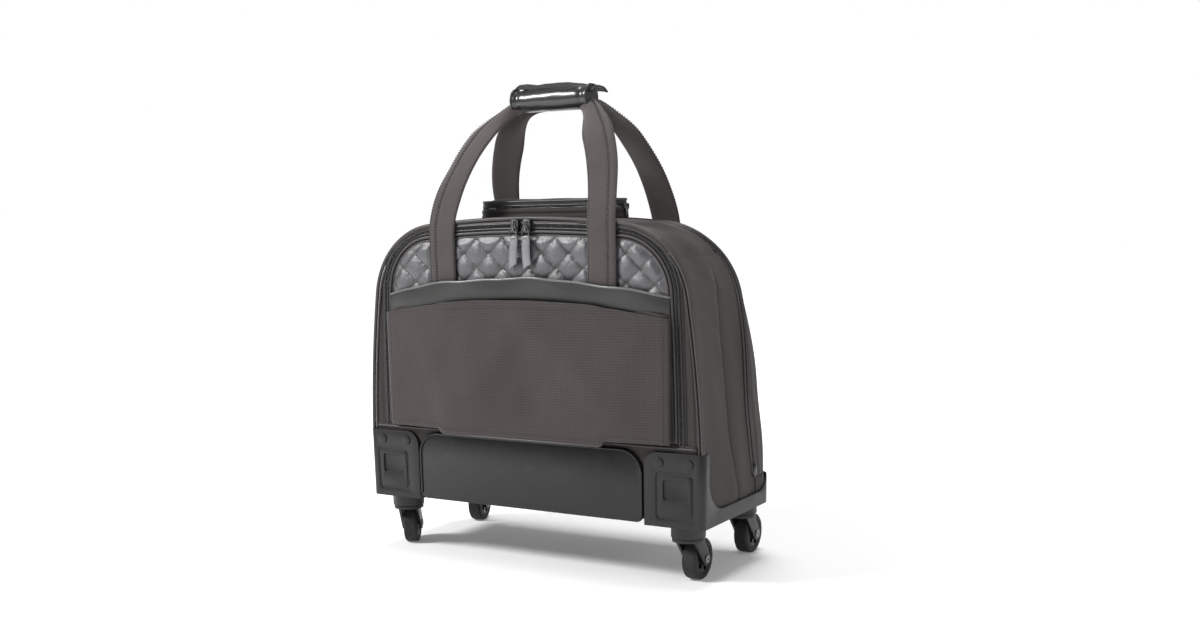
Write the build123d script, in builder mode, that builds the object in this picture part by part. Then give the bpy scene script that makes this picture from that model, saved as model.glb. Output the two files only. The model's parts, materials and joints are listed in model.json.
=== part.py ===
"""Rolling laptop case: a soft tote on a moulded base with four swivel casters and a telescopic handle.

Frame: X across the case, Y from the trolley sleeve side (rear, negative) to the pocket side (front),
Z up, origin on the floor under the middle of the case. Millimetres.
"""

import os
from math import atan2, cos, hypot, radians, sin

from build123d import *

# ------------------------------------------------------------------ driving dimensions
REAR_Y = -89.0  # outer face of the fabric on the trolley sleeve side
FRONT_ZIP_Y = REAR_Y + 130.0  # front edge of the body band, below the shoulder
BASE_FRONT_Y = REAR_Y + 175.0  # front of the fabric at the base
POCKET_FRONT_Y = REAR_Y + 190.0  # furthest forward point of the front pocket
HALF_WIDTH = 215.0  # outside of the moulded rails
BASE_Z = 64.0  # underside of the moulded rails
CROWN_Z = 376.0  # middle of the fabric top
DOOR_Z = 150.0  # bottom seam of the rear door
FRONT_DOOR_Z = 98.0  # bottom seam of the front door
HOUSING_Z = 142.0  # top of the rear corner housings
FABRIC = 3.0  # thickness of a padded fabric wall
GAP = 0.4  # free space between pieces that only touch in the real case
PLY = 2.3  # thickness of a single layer sewn on a door
WHEEL_R = 22.5
WHEEL_WIDTH = 16.0
CASTER_X = 184.5
CASTER_TRAIL = 21.0
REAR_CASTER_Y = REAR_Y + 22.0
FRONT_CASTER_Y = REAR_Y + 152.0
SOCKET_R = 18.2
SOCKET_Z = 50.3  # underside of a caster socket
TUBE_X = 62.0  # half the distance between the handle tubes
TUBE_Y = REAR_Y + 65.0
STRAP_X = 101.0  # middle of a strap leg
STRAP_WIDTH = 34.0
STRAP_THICK = 2.6
GRIP_Y = REAR_Y + 70.0  # middle of the leather wrap round the straps
GRIP_Z = 500.0

RAIL_WALL = 2.7
FLANGE = 4.1
BOARD_Z = BASE_Z + FLANGE + 0.3  # underside of the base board
BOARD = 3.0

# layers on the rear door, as distances outward from the rear fabric face
QUILT_OUT = 2.5
POCKET_IN = 7.8
POCKET_OUT = POCKET_IN + 2.4
TRIM_OUT = POCKET_IN + 3.0
SLEEVE_IN = 15.5
SLEEVE_OUT = 18.0


def across(y):
    """Plane across the case at depth y; its normal points to the rear."""
    return Plane(origin=(0, y, 0), x_dir=(1, 0, 0), z_dir=(0, -1, 0))


def circle_through(a, b, c):
    """Centre and radius of the circle through three points."""
    (ax, az), (bx, bz), (cx, cz) = a, b, c
    d = 2 * (ax * (bz - cz) + bx * (cz - az) + cx * (az - bz))
    sa, sb, sc = ax**2 + az**2, bx**2 + bz**2, cx**2 + cz**2
    x = (sa * (bz - cz) + sb * (cz - az) + sc * (az - bz)) / d
    z = (sa * (cx - bx) + sb * (ax - cx) + sc * (bx - ax)) / d
    return x, z, hypot(ax - x, az - z)


def arch(foot, middle, corner, crown_z, radius, grow, foot_z):
    """Face with two bowed sides, a bowed top and rounded shoulders, cut off at foot_z."""
    side_x, side_z, side_r = circle_through(foot, middle, corner)
    top_x, top_z, top_r = circle_through(corner, (0, crown_z), (-corner[0], corner[1]))
    side_r, top_r = side_r + grow, top_r + grow

    # where the grown side and the grown top meet
    reach = hypot(side_x, side_z - top_z)
    along = (top_r**2 - side_r**2 + reach**2) / (2 * reach)
    height = (top_r**2 - along**2) ** 0.5
    turn = atan2(side_z - top_z, side_x)
    tips = [turn + atan2(sign * height, along) for sign in (-1, 1)]
    tip_x, tip_z = max((top_r * cos(t), top_z + top_r * sin(t)) for t in tips)

    def side_point(z):
        return side_x + (side_r**2 - (z - side_z) ** 2) ** 0.5, z

    low, mid, tip = side_point(foot_z), side_point((foot_z + tip_z) / 2), (tip_x, tip_z)
    with BuildSketch() as shape:
        with BuildLine():
            ThreePointArc(low, mid, tip)
            ThreePointArc(tip, (0, crown_z + grow), (-tip_x, tip_z))
            ThreePointArc((-tip_x, tip_z), (-mid[0], mid[1]), (-low[0], low[1]))
            Line((-low[0], low[1]), low)
        make_face()
        fillet(shape.vertices().group_by(Axis.Y)[-1], radius + grow)
    return shape.sketch


def body_arch(grow=0.0, foot_z=BOARD_Z):
    """Outline of the case from behind, grown outward by grow and cut off at foot_z."""
    return arch((210.4, 20.0), (208.0, 197.0), (184.5, 361.5), CROWN_Z, 85.0, grow, foot_z)


def door_arch(grow=0.0, foot_z=DOOR_Z + GAP):
    """Outline of the rear door from behind, inside its zip."""
    return arch((183.0, 60.0), (181.5, 220.0), (175.0, 354.0), 364.0, 60.0, grow, foot_z)


def front_line(shift=0.0):
    """Region behind the front zip line, from the side, with the line moved forward by shift."""
    y, bend_z, radius = FRONT_ZIP_Y + shift, 268.0, 200.0 + shift
    back_y, top_z = -200.0, 430.0
    rise = CROWN_Z - bend_z
    lean_y = y - radius + (radius**2 - rise**2) ** 0.5
    half_y = y - radius + (radius**2 - rise**2 / 4) ** 0.5
    with BuildSketch() as region:
        with BuildLine():
            Line((back_y, 0), (y, 0))
            Line((y, 0), (y, bend_z))
            ThreePointArc((y, bend_z), (half_y, bend_z + rise / 2), (lean_y, CROWN_Z))
            Polyline((lean_y, CROWN_Z), (lean_y, top_z), (back_y, top_z), (back_y, 0))
        make_face()
    return region.sketch


def front_face(inset=0.0):
    """Region behind the front of the case, from the side."""
    front, middle, top = BASE_FRONT_Y - inset, REAR_Y + 162 - inset, REAR_Y + 116 - inset
    back_y, top_z = -200.0, CROWN_Z + 2
    with BuildSketch() as region:
        with BuildLine():
            Polyline((back_y, 0), (front, 0), (front, 100))
            ThreePointArc((front, 100), (middle, 240), (top, top_z))
            Polyline((top, top_z), (back_y, top_z), (back_y, 0))
        make_face()
    return region.sketch


def crowned_panel(crown_z, low_z, half_width, drop):
    """Face with a straight bottom, straight sides and a bowed top that drops by drop at its ends."""
    end_z = crown_z - drop
    with BuildSketch() as panel:
        with BuildLine():
            ThreePointArc((half_width, end_z), (0, crown_z), (-half_width, end_z))
            Polyline((-half_width, end_z), (-half_width, low_z), (half_width, low_z), (half_width, end_z))
        make_face()
    return panel.sketch


def save(builder, label):
    """Label a finished piece and write it to its STEP file."""
    builder.part.label = label
    export_step(builder.part, f"parts/{label}.step")


os.makedirs("parts", exist_ok=True)

# ------------------------------------------------------------------ soft body fixed to the base
WELL_HALF, WELL_REAR, WELL_FRONT = 88.0, REAR_Y + 44.0, REAR_Y + 86.0
WELL_TOP = 387.5
WELL_MIDDLE = (WELL_REAR + WELL_FRONT) / 2
WELL_DEPTH = WELL_FRONT - WELL_REAR
END_R = WELL_DEPTH / 2 - 0.1  # the well and its lid end in half rounds

with BuildPart() as body_gusset:
    with BuildSketch(across(80)):
        add(body_arch())
    extrude(amount=80 - REAR_Y)
    with BuildSketch(across(90)):
        add(body_arch(grow=-FABRIC))
    extrude(amount=90 - REAR_Y + 10, mode=Mode.SUBTRACT)
    with BuildSketch(Plane.YZ.offset(-250)):
        add(front_line(shift=-0.3))
    extrude(amount=500, mode=Mode.INTERSECT)
    with BuildSketch(Plane.XY.offset(360)):
        with Locations((0, WELL_MIDDLE)):
            RectangleRounded(2 * WELL_HALF + 1, WELL_DEPTH + 1, END_R + 0.5)
    extrude(amount=40, mode=Mode.SUBTRACT)
save(body_gusset, "body_gusset")

with BuildPart() as base_board:
    with BuildSketch(Plane.XY.offset(BOARD_Z)):
        with Locations((0, (REAR_Y + BASE_FRONT_Y) / 2)):
            Rectangle(2 * 208.2, BASE_FRONT_Y - REAR_Y - 6.8)
    extrude(amount=BOARD)
    fillet(base_board.edges().filter_by(Axis.Z).group_by(Axis.Y)[-1], 24)
save(base_board, "base_board")

with BuildPart() as rear_lower_panel:
    with BuildSketch(across(REAR_Y + FABRIC)):
        add(body_arch(grow=-FABRIC - 0.3))
        with Locations((0, DOOR_Z - GAP)):
            Rectangle(500, 400, align=(Align.CENTER, Align.MIN), mode=Mode.SUBTRACT)
    extrude(amount=FABRIC)
save(rear_lower_panel, "rear_lower_panel")

with BuildPart() as rear_zip_gusset:
    with BuildSketch(across(REAR_Y + FABRIC)):
        add(body_arch(grow=-FABRIC - 0.3, foot_z=DOOR_Z))
    extrude(amount=FABRIC)
    with BuildSketch(across(REAR_Y + 10)):
        add(door_arch(grow=0.5, foot_z=DOOR_Z - 10))
    extrude(amount=20, mode=Mode.SUBTRACT)
save(rear_zip_gusset, "rear_zip_gusset")

CHAIN = 1.6
with BuildPart() as rear_zip_chain:
    # rear chain lies flat on the zip gusset, just outside the rear door
    with BuildSketch(across(REAR_Y - 0.1)):
        add(door_arch(grow=8.0, foot_z=DOOR_Z + 2))
    extrude(amount=CHAIN)
    with BuildSketch(across(REAR_Y + 5)):
        add(door_arch(grow=2.0, foot_z=DOOR_Z - 10))
    extrude(amount=20, mode=Mode.SUBTRACT)
save(rear_zip_chain, "rear_zip_chain")

with BuildPart() as front_zip_chain:
    # front chain lies round the outside of the body band along its front edge
    with BuildSketch(across(90)):
        add(body_arch(grow=0.1 + CHAIN, foot_z=FRONT_DOOR_Z + 4))
    extrude(amount=150)
    with BuildSketch(across(95)):
        add(body_arch(grow=0.1, foot_z=60))
    extrude(amount=160, mode=Mode.SUBTRACT)
    with BuildSketch(Plane.YZ.offset(-250)):
        add(front_line(shift=-1.0))
    extrude(amount=500, mode=Mode.INTERSECT)
    with BuildSketch(Plane.YZ.offset(-250)):
        add(front_line(shift=-7.0))
    extrude(amount=500, mode=Mode.SUBTRACT)
save(front_zip_chain, "front_zip_chain")

with BuildPart() as rear_piping:
    with BuildSketch(across(REAR_Y + 3)):
        add(body_arch(grow=2.5, foot_z=HOUSING_Z + 1))
    extrude(amount=4)
    with BuildSketch(across(REAR_Y + 10)):
        add(body_arch(grow=0.1, foot_z=60))
    extrude(amount=20, mode=Mode.SUBTRACT)
save(rear_piping, "rear_piping")

with BuildPart() as front_lower_panel:
    # low wall round the front of the base, closed at the front and open to the body band
    with BuildSketch(Plane.XY.offset(BOARD_Z)):
        with Locations((0, BASE_FRONT_Y)):
            Rectangle(424.0, BASE_FRONT_Y - FRONT_ZIP_Y - 0.3, align=(Align.CENTER, Align.MAX))
    extrude(amount=FRONT_DOOR_Z - GAP - BOARD_Z)
    fillet(front_lower_panel.edges().filter_by(Axis.Z).group_by(Axis.Y)[-1], 27)
    with BuildSketch(Plane.XY.offset(BOARD_Z - 1)):
        with Locations((0, BASE_FRONT_Y - FABRIC)):
            RectangleRounded(424.0 - 2 * FABRIC, 160, 24, align=(Align.CENTER, Align.MAX))
    extrude(amount=60, mode=Mode.SUBTRACT)
save(front_lower_panel, "front_lower_panel")

with BuildPart() as divider_panel:
    with BuildSketch(across(REAR_Y + 50)):
        add(body_arch(grow=-FABRIC - 0.6, foot_z=BOARD_Z + BOARD + 0.3))
        with Locations((0, 362)):
            Rectangle(2 * WELL_HALF + 4, 60, align=(Align.CENTER, Align.MIN), mode=Mode.SUBTRACT)
    extrude(amount=FABRIC)
save(divider_panel, "divider_panel")

# ------------------------------------------------------------------ moulded base hardware
with BuildPart() as side_rail_right:
    front, rear, inner_x = BASE_FRONT_Y + 0.3, REAR_Y - 0.3, 146.0
    with BuildSketch(Plane.XY.offset(BASE_Z)):
        with Locations((inner_x, rear - 3.7)):
            Rectangle(HALF_WIDTH - inner_x, front - rear + 3.7 + RAIL_WALL, align=Align.MIN)
    extrude(amount=HOUSING_Z - BASE_Z)
    outside = side_rail_right.edges().filter_by(Axis.Z).group_by(Axis.X)[-1].sort_by(Axis.Y)
    fillet(outside[-1], 30)
    fillet(side_rail_right.edges().filter_by(Axis.Z).group_by(Axis.X)[-1].sort_by(Axis.Y)[0], 6)
    with BuildSketch(Plane.XY.offset(BASE_Z + FLANGE)):
        with Locations((HALF_WIDTH - RAIL_WALL, front)):
            RectangleRounded(200, front - rear, 27.3, align=Align.MAX)
        with Locations((HALF_WIDTH - RAIL_WALL, rear)):
            Rectangle(200, 60, align=(Align.MAX, Align.MIN))
    extrude(amount=100, mode=Mode.SUBTRACT)
    # the side wall stands tall at the rear corner and runs low along the bottom to a raised front tip
    with BuildSketch(Plane.YZ.offset(100)):
        with BuildLine():
            Line((REAR_Y + 9, 180), (REAR_Y + 9, 114))
            ThreePointArc((REAR_Y + 9, 114), (REAR_Y + 19, 90), (REAR_Y + 43, 80))
            Line((REAR_Y + 43, 80), (REAR_Y + 130, 80))
            ThreePointArc((REAR_Y + 130, 80), (REAR_Y + 150, 84), (REAR_Y + 164, 96))
            Polyline((REAR_Y + 164, 96), (REAR_Y + 190, 96), (REAR_Y + 190, 180), (REAR_Y + 9, 180))
        make_face()
    extrude(amount=150, mode=Mode.SUBTRACT)
    inner_top = side_rail_right.edges().filter_by(Axis.Y).group_by(Axis.X)[0].sort_by(Axis.Z)[-1]
    fillet(inner_top, 15)
    # rear housing: square recess, raised pad, window
    with BuildSketch(across(rear - 3.7 + 1.2)):
        with Locations((182.5, 97)):
            RectangleRounded(45, 50, 5)
            RectangleRounded(37, 42, 4, mode=Mode.SUBTRACT)
        with Locations((182.9, 103.5)):
            RectangleRounded(28.8, 21, 3)
    extrude(amount=5, mode=Mode.SUBTRACT)
    with BuildSketch(across(rear - 3.7 + 2.2)):
        with Locations((182.9, 103.5)):
            RectangleRounded(28.8, 21, 3)
    extrude(amount=5, mode=Mode.SUBTRACT)
    # caster sockets under the flange, with a bore for the bush
    for caster_y in (REAR_CASTER_Y, FRONT_CASTER_Y):
        with BuildSketch(Plane.XY.offset(SOCKET_Z)):
            with Locations((CASTER_X, caster_y)):
                Circle(SOCKET_R)
        extrude(amount=BASE_Z - SOCKET_Z)
        with BuildSketch(Plane.XY.offset(SOCKET_Z)):
            with Locations((CASTER_X, caster_y)):
                Circle(6.5)
        extrude(amount=15.5, mode=Mode.SUBTRACT)
save(side_rail_right, "side_rail_right")

with BuildPart() as side_rail_left:
    mirror(side_rail_right.part, about=Plane.YZ)
save(side_rail_left, "side_rail_left")

with BuildPart() as rail_rivets:
    rear_row = (REAR_Y - 4.0, 131.5, (163.2, 197.6), 1.3)
    front_row = (BASE_FRONT_Y + 0.3 + RAIL_WALL, 84.0, (156.0, 176.0), -1.3)
    for wall_y, rivet_z, rivet_xs, rise in (rear_row, front_row):
        with BuildSketch(across(wall_y)):
            with Locations(*[(sign * x, rivet_z) for sign in (-1, 1) for x in rivet_xs]):
                Circle(5.6)
        extrude(amount=rise)
save(rail_rivets, "rail_rivets")

with BuildPart() as kick_plate:
    with BuildSketch(across(REAR_Y - 0.3)):
        with Locations((0, 66)):
            Rectangle(289, 77, align=(Align.CENTER, Align.MIN))
    extrude(amount=3.7)
    fillet(kick_plate.edges().filter_by(Axis.Y).group_by(Axis.Z)[-1], 26)
    fillet(kick_plate.edges().filter_by(Axis.Y).group_by(Axis.Z)[0], 8)
save(kick_plate, "kick_plate")

with BuildPart() as caster_bushes:
    for side in (-1, 1):
        for caster_y in (REAR_CASTER_Y, FRONT_CASTER_Y):
            with BuildSketch(Plane.XY.offset(SOCKET_Z + 0.2)):
                with Locations((side * CASTER_X, caster_y)):
                    Circle(6.45)
                    Circle(4.06, mode=Mode.SUBTRACT)
            extrude(amount=15.2)
save(caster_bushes, "caster_bushes")


# ------------------------------------------------------------------ casters
def caster(name, x, y, turn):
    """Fork, wheel hub, tyre and axle of one caster; turn is its trail's angle from +Y, in degrees."""
    ahead = (-sin(radians(turn)), cos(radians(turn)), 0)
    aside = (cos(radians(turn)), sin(radians(turn)), 0)
    flat = Plane(origin=(x, y, 0), x_dir=aside, z_dir=(0, 0, 1))
    side = Plane(origin=(x, y, 0), x_dir=ahead, z_dir=aside)
    arm_in, arm, crown_z, crown = WHEEL_WIDTH / 2 + 0.8, 2.8, 46.2, 3.6
    axle = (CASTER_TRAIL, WHEEL_R)

    with BuildPart() as fork:
        with BuildSketch(side.offset(arm_in), side.offset(-arm_in - arm)):
            Polygon((-11, 49.8), (11, 49.8), (27, 27), (14.6, 18.6), align=None)
            with Locations(axle):
                Circle(7.4)
        extrude(amount=arm)
        with BuildSketch(flat.offset(crown_z)):
            Circle(17.2)
        extrude(amount=crown)
        with BuildSketch(flat.offset(crown_z + crown)):
            Circle(4.0)
        extrude(amount=15.0)
        with BuildSketch(side.offset(-20)):
            with Locations(axle):
                Circle(2.55)
        extrude(amount=40, mode=Mode.SUBTRACT)
    save(fork, f"caster_fork_{name}")

    with BuildPart() as hub:
        with BuildSketch(side.offset(-WHEEL_WIDTH / 2 + 0.5)):
            with Locations(axle):
                Circle(15.5)
                Circle(2.6, mode=Mode.SUBTRACT)
                with PolarLocations(9.8, 5):
                    Circle(3.7, mode=Mode.SUBTRACT)
        extrude(amount=WHEEL_WIDTH - 1)
    save(hub, f"wheel_hub_{name}")

    with BuildPart() as tyre:
        with BuildSketch(side.offset(-WHEEL_WIDTH / 2)):
            with Locations(axle):
                Circle(WHEEL_R)
                Circle(15.5, mode=Mode.SUBTRACT)
        extrude(amount=WHEEL_WIDTH)
        fillet(tyre.edges().filter_by(GeomType.CIRCLE).group_by(SortBy.RADIUS)[-1], 2.6)
    save(tyre, f"tyre_{name}")

    with BuildPart() as pin:
        with BuildSketch(side.offset(-arm_in - arm)):
            with Locations(axle):
                Circle(2.53)
        extrude(amount=2 * (arm_in + arm))
        with BuildSketch(side.offset(arm_in + arm), side.offset(-arm_in - arm - 1)):
            with Locations(axle):
                Circle(4.2)
                RegularPolygon(2.0, 6, mode=Mode.SUBTRACT)
        extrude(amount=1)
    save(pin, f"axle_{name}")


CASTERS = {
    "rear_right": (CASTER_X, REAR_CASTER_Y, 0),
    "front_right": (CASTER_X, FRONT_CASTER_Y, 0),
    "rear_left": (-CASTER_X, REAR_CASTER_Y, 30),
    "front_left": (-CASTER_X, FRONT_CASTER_Y, 15),
}
for caster_name, (caster_x, caster_y, caster_turn) in CASTERS.items():
    caster(caster_name, caster_x, caster_y, caster_turn)

# ------------------------------------------------------------------ telescopic handle
WELL_FLOOR = 362.0
TUBE_FOOT = BOARD_Z + BOARD + 5.0


def tubes(label, width, depth, wall, low_z, high_z):
    """Pair of rounded rectangular tubes."""
    with BuildPart() as pair:
        with BuildSketch(Plane.XY.offset(low_z)):
            with Locations((-TUBE_X, TUBE_Y), (TUBE_X, TUBE_Y)):
                RectangleRounded(width, depth, 3.0)
                RectangleRounded(width - 2 * wall, depth - 2 * wall, 3.0 - wall, mode=Mode.SUBTRACT)
        extrude(amount=high_z - low_z)
    save(pair, label)


tubes("handle_outer_tubes", 20.0, 14.0, 1.2, TUBE_FOOT, 367.0)
tubes("handle_middle_tubes", 17.0, 11.0, 1.2, TUBE_FOOT + 1, 369.0)
tubes("handle_inner_tubes", 14.0, 8.0, 1.2, TUBE_FOOT + 2, 372.0)

with BuildPart() as handle_bracket:
    with BuildSketch(Plane.XY.offset(BOARD_Z + BOARD + 0.3)):
        with Locations((0, TUBE_Y)):
            RectangleRounded(2 * TUBE_X + 34, 26, 6)
    extrude(amount=TUBE_FOOT - BOARD_Z - BOARD - 0.3)
save(handle_bracket, "handle_bracket")

with BuildPart() as handle_well:
    with BuildSketch(Plane.XY.offset(WELL_FLOOR)):
        with Locations((0, WELL_MIDDLE)):
            RectangleRounded(2 * WELL_HALF, WELL_DEPTH, END_R)
    extrude(amount=WELL_TOP - WELL_FLOOR)
    with BuildSketch(Plane.XY.offset(WELL_FLOOR + 3)):
        with Locations((0, WELL_MIDDLE)):
            RectangleRounded(2 * WELL_HALF - 6, WELL_DEPTH - 6, END_R - 3)
    extrude(amount=40, mode=Mode.SUBTRACT)
    with BuildSketch(Plane.XY.offset(WELL_FLOOR)):
        with Locations((-TUBE_X, TUBE_Y), (TUBE_X, TUBE_Y)):
            RectangleRounded(20.4, 14.4, 3.2)
    extrude(amount=3, mode=Mode.SUBTRACT)
save(handle_well, "handle_well")

with BuildPart() as tube_cover:
    # stiff lining channel in front of the tubes
    with BuildSketch(Plane.XY.offset(BOARD_Z + BOARD + 0.3)):
        with Locations((0, REAR_Y + 50.3)):
            Rectangle(2 * 92, 32, align=(Align.CENTER, Align.MIN))
            Rectangle(2 * 90, 30, align=(Align.CENTER, Align.MIN), mode=Mode.SUBTRACT)
    extrude(amount=WELL_FLOOR - 2 - BOARD_Z - BOARD - 0.3)
save(tube_cover, "tube_cover")

GRIP_TOP = 385.0
with BuildPart() as handle_grip:
    with BuildSketch(Plane.XY.offset(372.0)):
        with Locations((0, TUBE_Y)):
            RectangleRounded(152, 21, 8)
    extrude(amount=GRIP_TOP - 372.0)
    fillet(handle_grip.edges().group_by(Axis.Z)[-1], 4)
    # hand clearance between the two legs
    with BuildSketch(across(TUBE_Y + 20)):
        with Locations((0, 372)):
            RectangleRounded(88, 8, 3, align=(Align.CENTER, Align.CENTER))
    extrude(amount=40, mode=Mode.SUBTRACT)
    with BuildSketch(Plane.XY.offset(GRIP_TOP - 5)):
        with Locations((0, TUBE_Y)):
            RectangleRounded(26.8, 10.8, 4)
    extrude(amount=6, mode=Mode.SUBTRACT)
save(handle_grip, "handle_grip")

with BuildPart() as handle_button:
    with BuildSketch(Plane.XY.offset(GRIP_TOP - 1.6)):
        with Locations((0, TUBE_Y)):
            RectangleRounded(26, 10, 3.6)
    extrude(amount=3.2)
    fillet(handle_button.edges().group_by(Axis.Z)[-1], 0.8)
save(handle_button, "handle_button")

LID_TOP = 396.0
with BuildPart() as handle_lid:
    with BuildSketch(Plane.XY.offset(WELL_TOP + 0.8)):
        with Locations((0, WELL_MIDDLE)):
            RectangleRounded(2 * WELL_HALF, WELL_DEPTH, END_R)
    extrude(amount=LID_TOP - WELL_TOP - 0.8)
    fillet(handle_lid.edges().group_by(Axis.Z)[-1], 3.5)
save(handle_lid, "handle_lid")

with BuildPart() as lid_slider:
    with BuildSketch(Plane.YZ.offset(WELL_HALF + 0.4)):
        with Locations((WELL_MIDDLE, WELL_TOP)):
            RectangleRounded(9, 6, 1.5)
        with Locations((WELL_MIDDLE, WELL_TOP - 3)):
            Rectangle(5, 7.5, align=(Align.CENTER, Align.MAX))
    extrude(amount=3.4)
save(lid_slider, "lid_slider")

# ------------------------------------------------------------------ rear door
TRIM_LOW_Z, TRIM_TOP_Z = 297.5, 315.5
SLEEVE_TOP_Z, SLEEVE_LOW_Z = 293.0, 145.0
POCKET_HALF = 178.0


with BuildPart() as laptop_door:
    with BuildSketch(across(REAR_Y + 4)):
        add(door_arch())
    extrude(amount=4)
save(laptop_door, "laptop_door")

with BuildPart() as quilted_panel:
    with BuildSketch(across(REAR_Y - 0.2)):
        add(door_arch(grow=-5, foot_z=278))
    extrude(amount=PLY)
save(quilted_panel, "quilted_panel")

with BuildPart() as slip_pocket:
    # front wall of the slip pocket, stood off the door along its bottom and side seams
    with BuildSketch(across(REAR_Y - POCKET_IN)):
        add(crowned_panel(TRIM_LOW_Z, DOOR_Z + GAP, POCKET_HALF, 17))
    extrude(amount=POCKET_OUT - POCKET_IN)
    with BuildSketch(across(REAR_Y - 0.2)):
        with Locations((0, DOOR_Z + GAP)):
            Rectangle(2 * POCKET_HALF, 3, align=(Align.CENTER, Align.MIN))
        with Locations((-POCKET_HALF, DOOR_Z + GAP), (POCKET_HALF - 3, DOOR_Z + GAP)):
            Rectangle(3, 125, align=(Align.MIN, Align.MIN))
    extrude(amount=POCKET_IN - 0.2)
save(slip_pocket, "slip_pocket")

with BuildPart() as pocket_trim:
    with BuildSketch(across(REAR_Y - POCKET_IN)):
        add(crowned_panel(TRIM_TOP_Z, 260, 175.0, 18))
    extrude(amount=TRIM_OUT - POCKET_IN)
    with BuildSketch(across(REAR_Y)):
        add(crowned_panel(TRIM_LOW_Z + 0.1, 200, POCKET_HALF, 17))
    extrude(amount=20, mode=Mode.SUBTRACT)
save(pocket_trim, "pocket_trim")

with BuildPart() as trolley_sleeve:
    # seen from above: flat over the trolley tubes, sloping back to a side seam at each end
    with BuildSketch(Plane.XY.offset(SLEEVE_LOW_Z)):
        with BuildLine():
            Polyline(
                (-177, REAR_Y - POCKET_OUT - 0.2),
                (-177, REAR_Y - POCKET_OUT - 3.0),
                (-108, REAR_Y - SLEEVE_OUT),
                (108, REAR_Y - SLEEVE_OUT),
                (177, REAR_Y - POCKET_OUT - 3.0),
                (177, REAR_Y - POCKET_OUT - 0.2),
                (168, REAR_Y - POCKET_OUT - 0.2),
                (104, REAR_Y - SLEEVE_IN),
                (-104, REAR_Y - SLEEVE_IN),
                (-168, REAR_Y - POCKET_OUT - 0.2),
                close=True,
            )
        make_face()
    extrude(amount=SLEEVE_TOP_Z - SLEEVE_LOW_Z)
    with BuildSketch(across(REAR_Y)):
        add(crowned_panel(SLEEVE_TOP_Z, DOOR_Z + GAP, 180, 16))
        with Locations((0, SLEEVE_LOW_Z)):
            Rectangle(210, 20, align=(Align.CENTER, Align.MIN))
    extrude(amount=40, mode=Mode.INTERSECT)
save(trolley_sleeve, "trolley_sleeve")

with BuildPart() as rear_strap_bases:
    with BuildSketch(across(REAR_Y - QUILT_OUT - 0.2)):
        with Locations((-STRAP_X, 286), (STRAP_X, 286)):
            Rectangle(STRAP_WIDTH, 365.4 - 286, align=(Align.CENTER, Align.MIN))
    extrude(amount=STRAP_THICK)
save(rear_strap_bases, "rear_strap_bases")


# ------------------------------------------------------------------ carrying straps
def strap(label, foot_y, foot_z, knee_z, top_y, top_z, toward):
    """U-shaped strap: two legs stand up from foot_z to knee_z, then lean towards the grip.

    toward is +1 when the strap leans towards +Y and -1 when it leans towards -Y; foot_y is the
    middle of the strap's thickness.
    """
    rise = ((top_y - foot_y) ** 2 + (top_z - knee_z) ** 2) ** 0.5
    lean = Plane(
        origin=(0, foot_y, knee_z),
        x_dir=(1, 0, 0),
        z_dir=(0, -(top_z - knee_z) / rise, (top_y - foot_y) / rise),
    )
    half = STRAP_THICK / 2
    with BuildPart() as loop:
        with BuildSketch(lean.offset(-half)):
            with BuildLine():
                outer_x, inner_x = STRAP_X + STRAP_WIDTH / 2, STRAP_X - STRAP_WIDTH / 2
                Line((outer_x, 0), (outer_x, 10))
                ThreePointArc((outer_x, 10), (100, rise * 0.62), (54, rise + 10))
                Line((54, rise + 10), (-54, rise + 10))
                ThreePointArc((-54, rise + 10), (-100, rise * 0.62), (-outer_x, 10))
                Polyline((-outer_x, 10), (-outer_x, 0), (-inner_x, 0), (-inner_x, 10))
                ThreePointArc((-inner_x, 10), (-74, rise * 0.55), (-54, rise - 10))
                Line((-54, rise - 10), (54, rise - 10))
                ThreePointArc((54, rise - 10), (74, rise * 0.55), (inner_x, 10))
                Polyline((inner_x, 10), (inner_x, 0), (outer_x, 0))
            make_face()
        extrude(amount=STRAP_THICK)
        with BuildSketch(across(foot_y + half)):
            with Locations((-STRAP_X, foot_z), (STRAP_X, foot_z)):
                Rectangle(STRAP_WIDTH, knee_z - foot_z + 0.6, align=(Align.CENTER, Align.MIN))
        extrude(amount=STRAP_THICK)
    save(loop, label)
    return lean


REAR_STRAP_Y = REAR_Y - QUILT_OUT - 0.2 - STRAP_THICK / 2
rear_lean = strap("rear_strap", REAR_STRAP_Y, 366.0, 380.0, GRIP_Y, GRIP_Z, 1)

FRONT_STRAP_Y = REAR_Y + 133.0
FRONT_GRIP_Y = REAR_Y + 88.0
strap("front_strap", FRONT_STRAP_Y, 345.0, 385.0, FRONT_GRIP_Y, GRIP_Z, -1)

WRAP_R = 12.5
with BuildPart() as handle_wrap:
    with BuildSketch(Plane.YZ.offset(-48)):
        with Locations((GRIP_Y, GRIP_Z)):
            Circle(WRAP_R)
    extrude(amount=96)
    with BuildSketch(Plane(origin=(-60, GRIP_Y, GRIP_Z), x_dir=rear_lean.y_dir, z_dir=(1, 0, 0))):
        Rectangle(20.6, STRAP_THICK + 0.6)
    extrude(amount=120, mode=Mode.SUBTRACT)
save(handle_wrap, "handle_wrap")

FLAP_Y, FLAP_Z = GRIP_Y - 5.0, GRIP_Z + WRAP_R + 0.6
with BuildPart() as wrap_flap:
    with BuildSketch(Plane.YZ.offset(-46)):
        with BuildLine():
            Polyline(
                (FLAP_Y, FLAP_Z),
                (FLAP_Y + 36, FLAP_Z + 8.5),
                (FLAP_Y + 36, FLAP_Z + 10.3),
                (FLAP_Y, FLAP_Z + 1.8),
                close=True,
            )
        make_face()
    extrude(amount=92)
save(wrap_flap, "wrap_flap")

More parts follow.
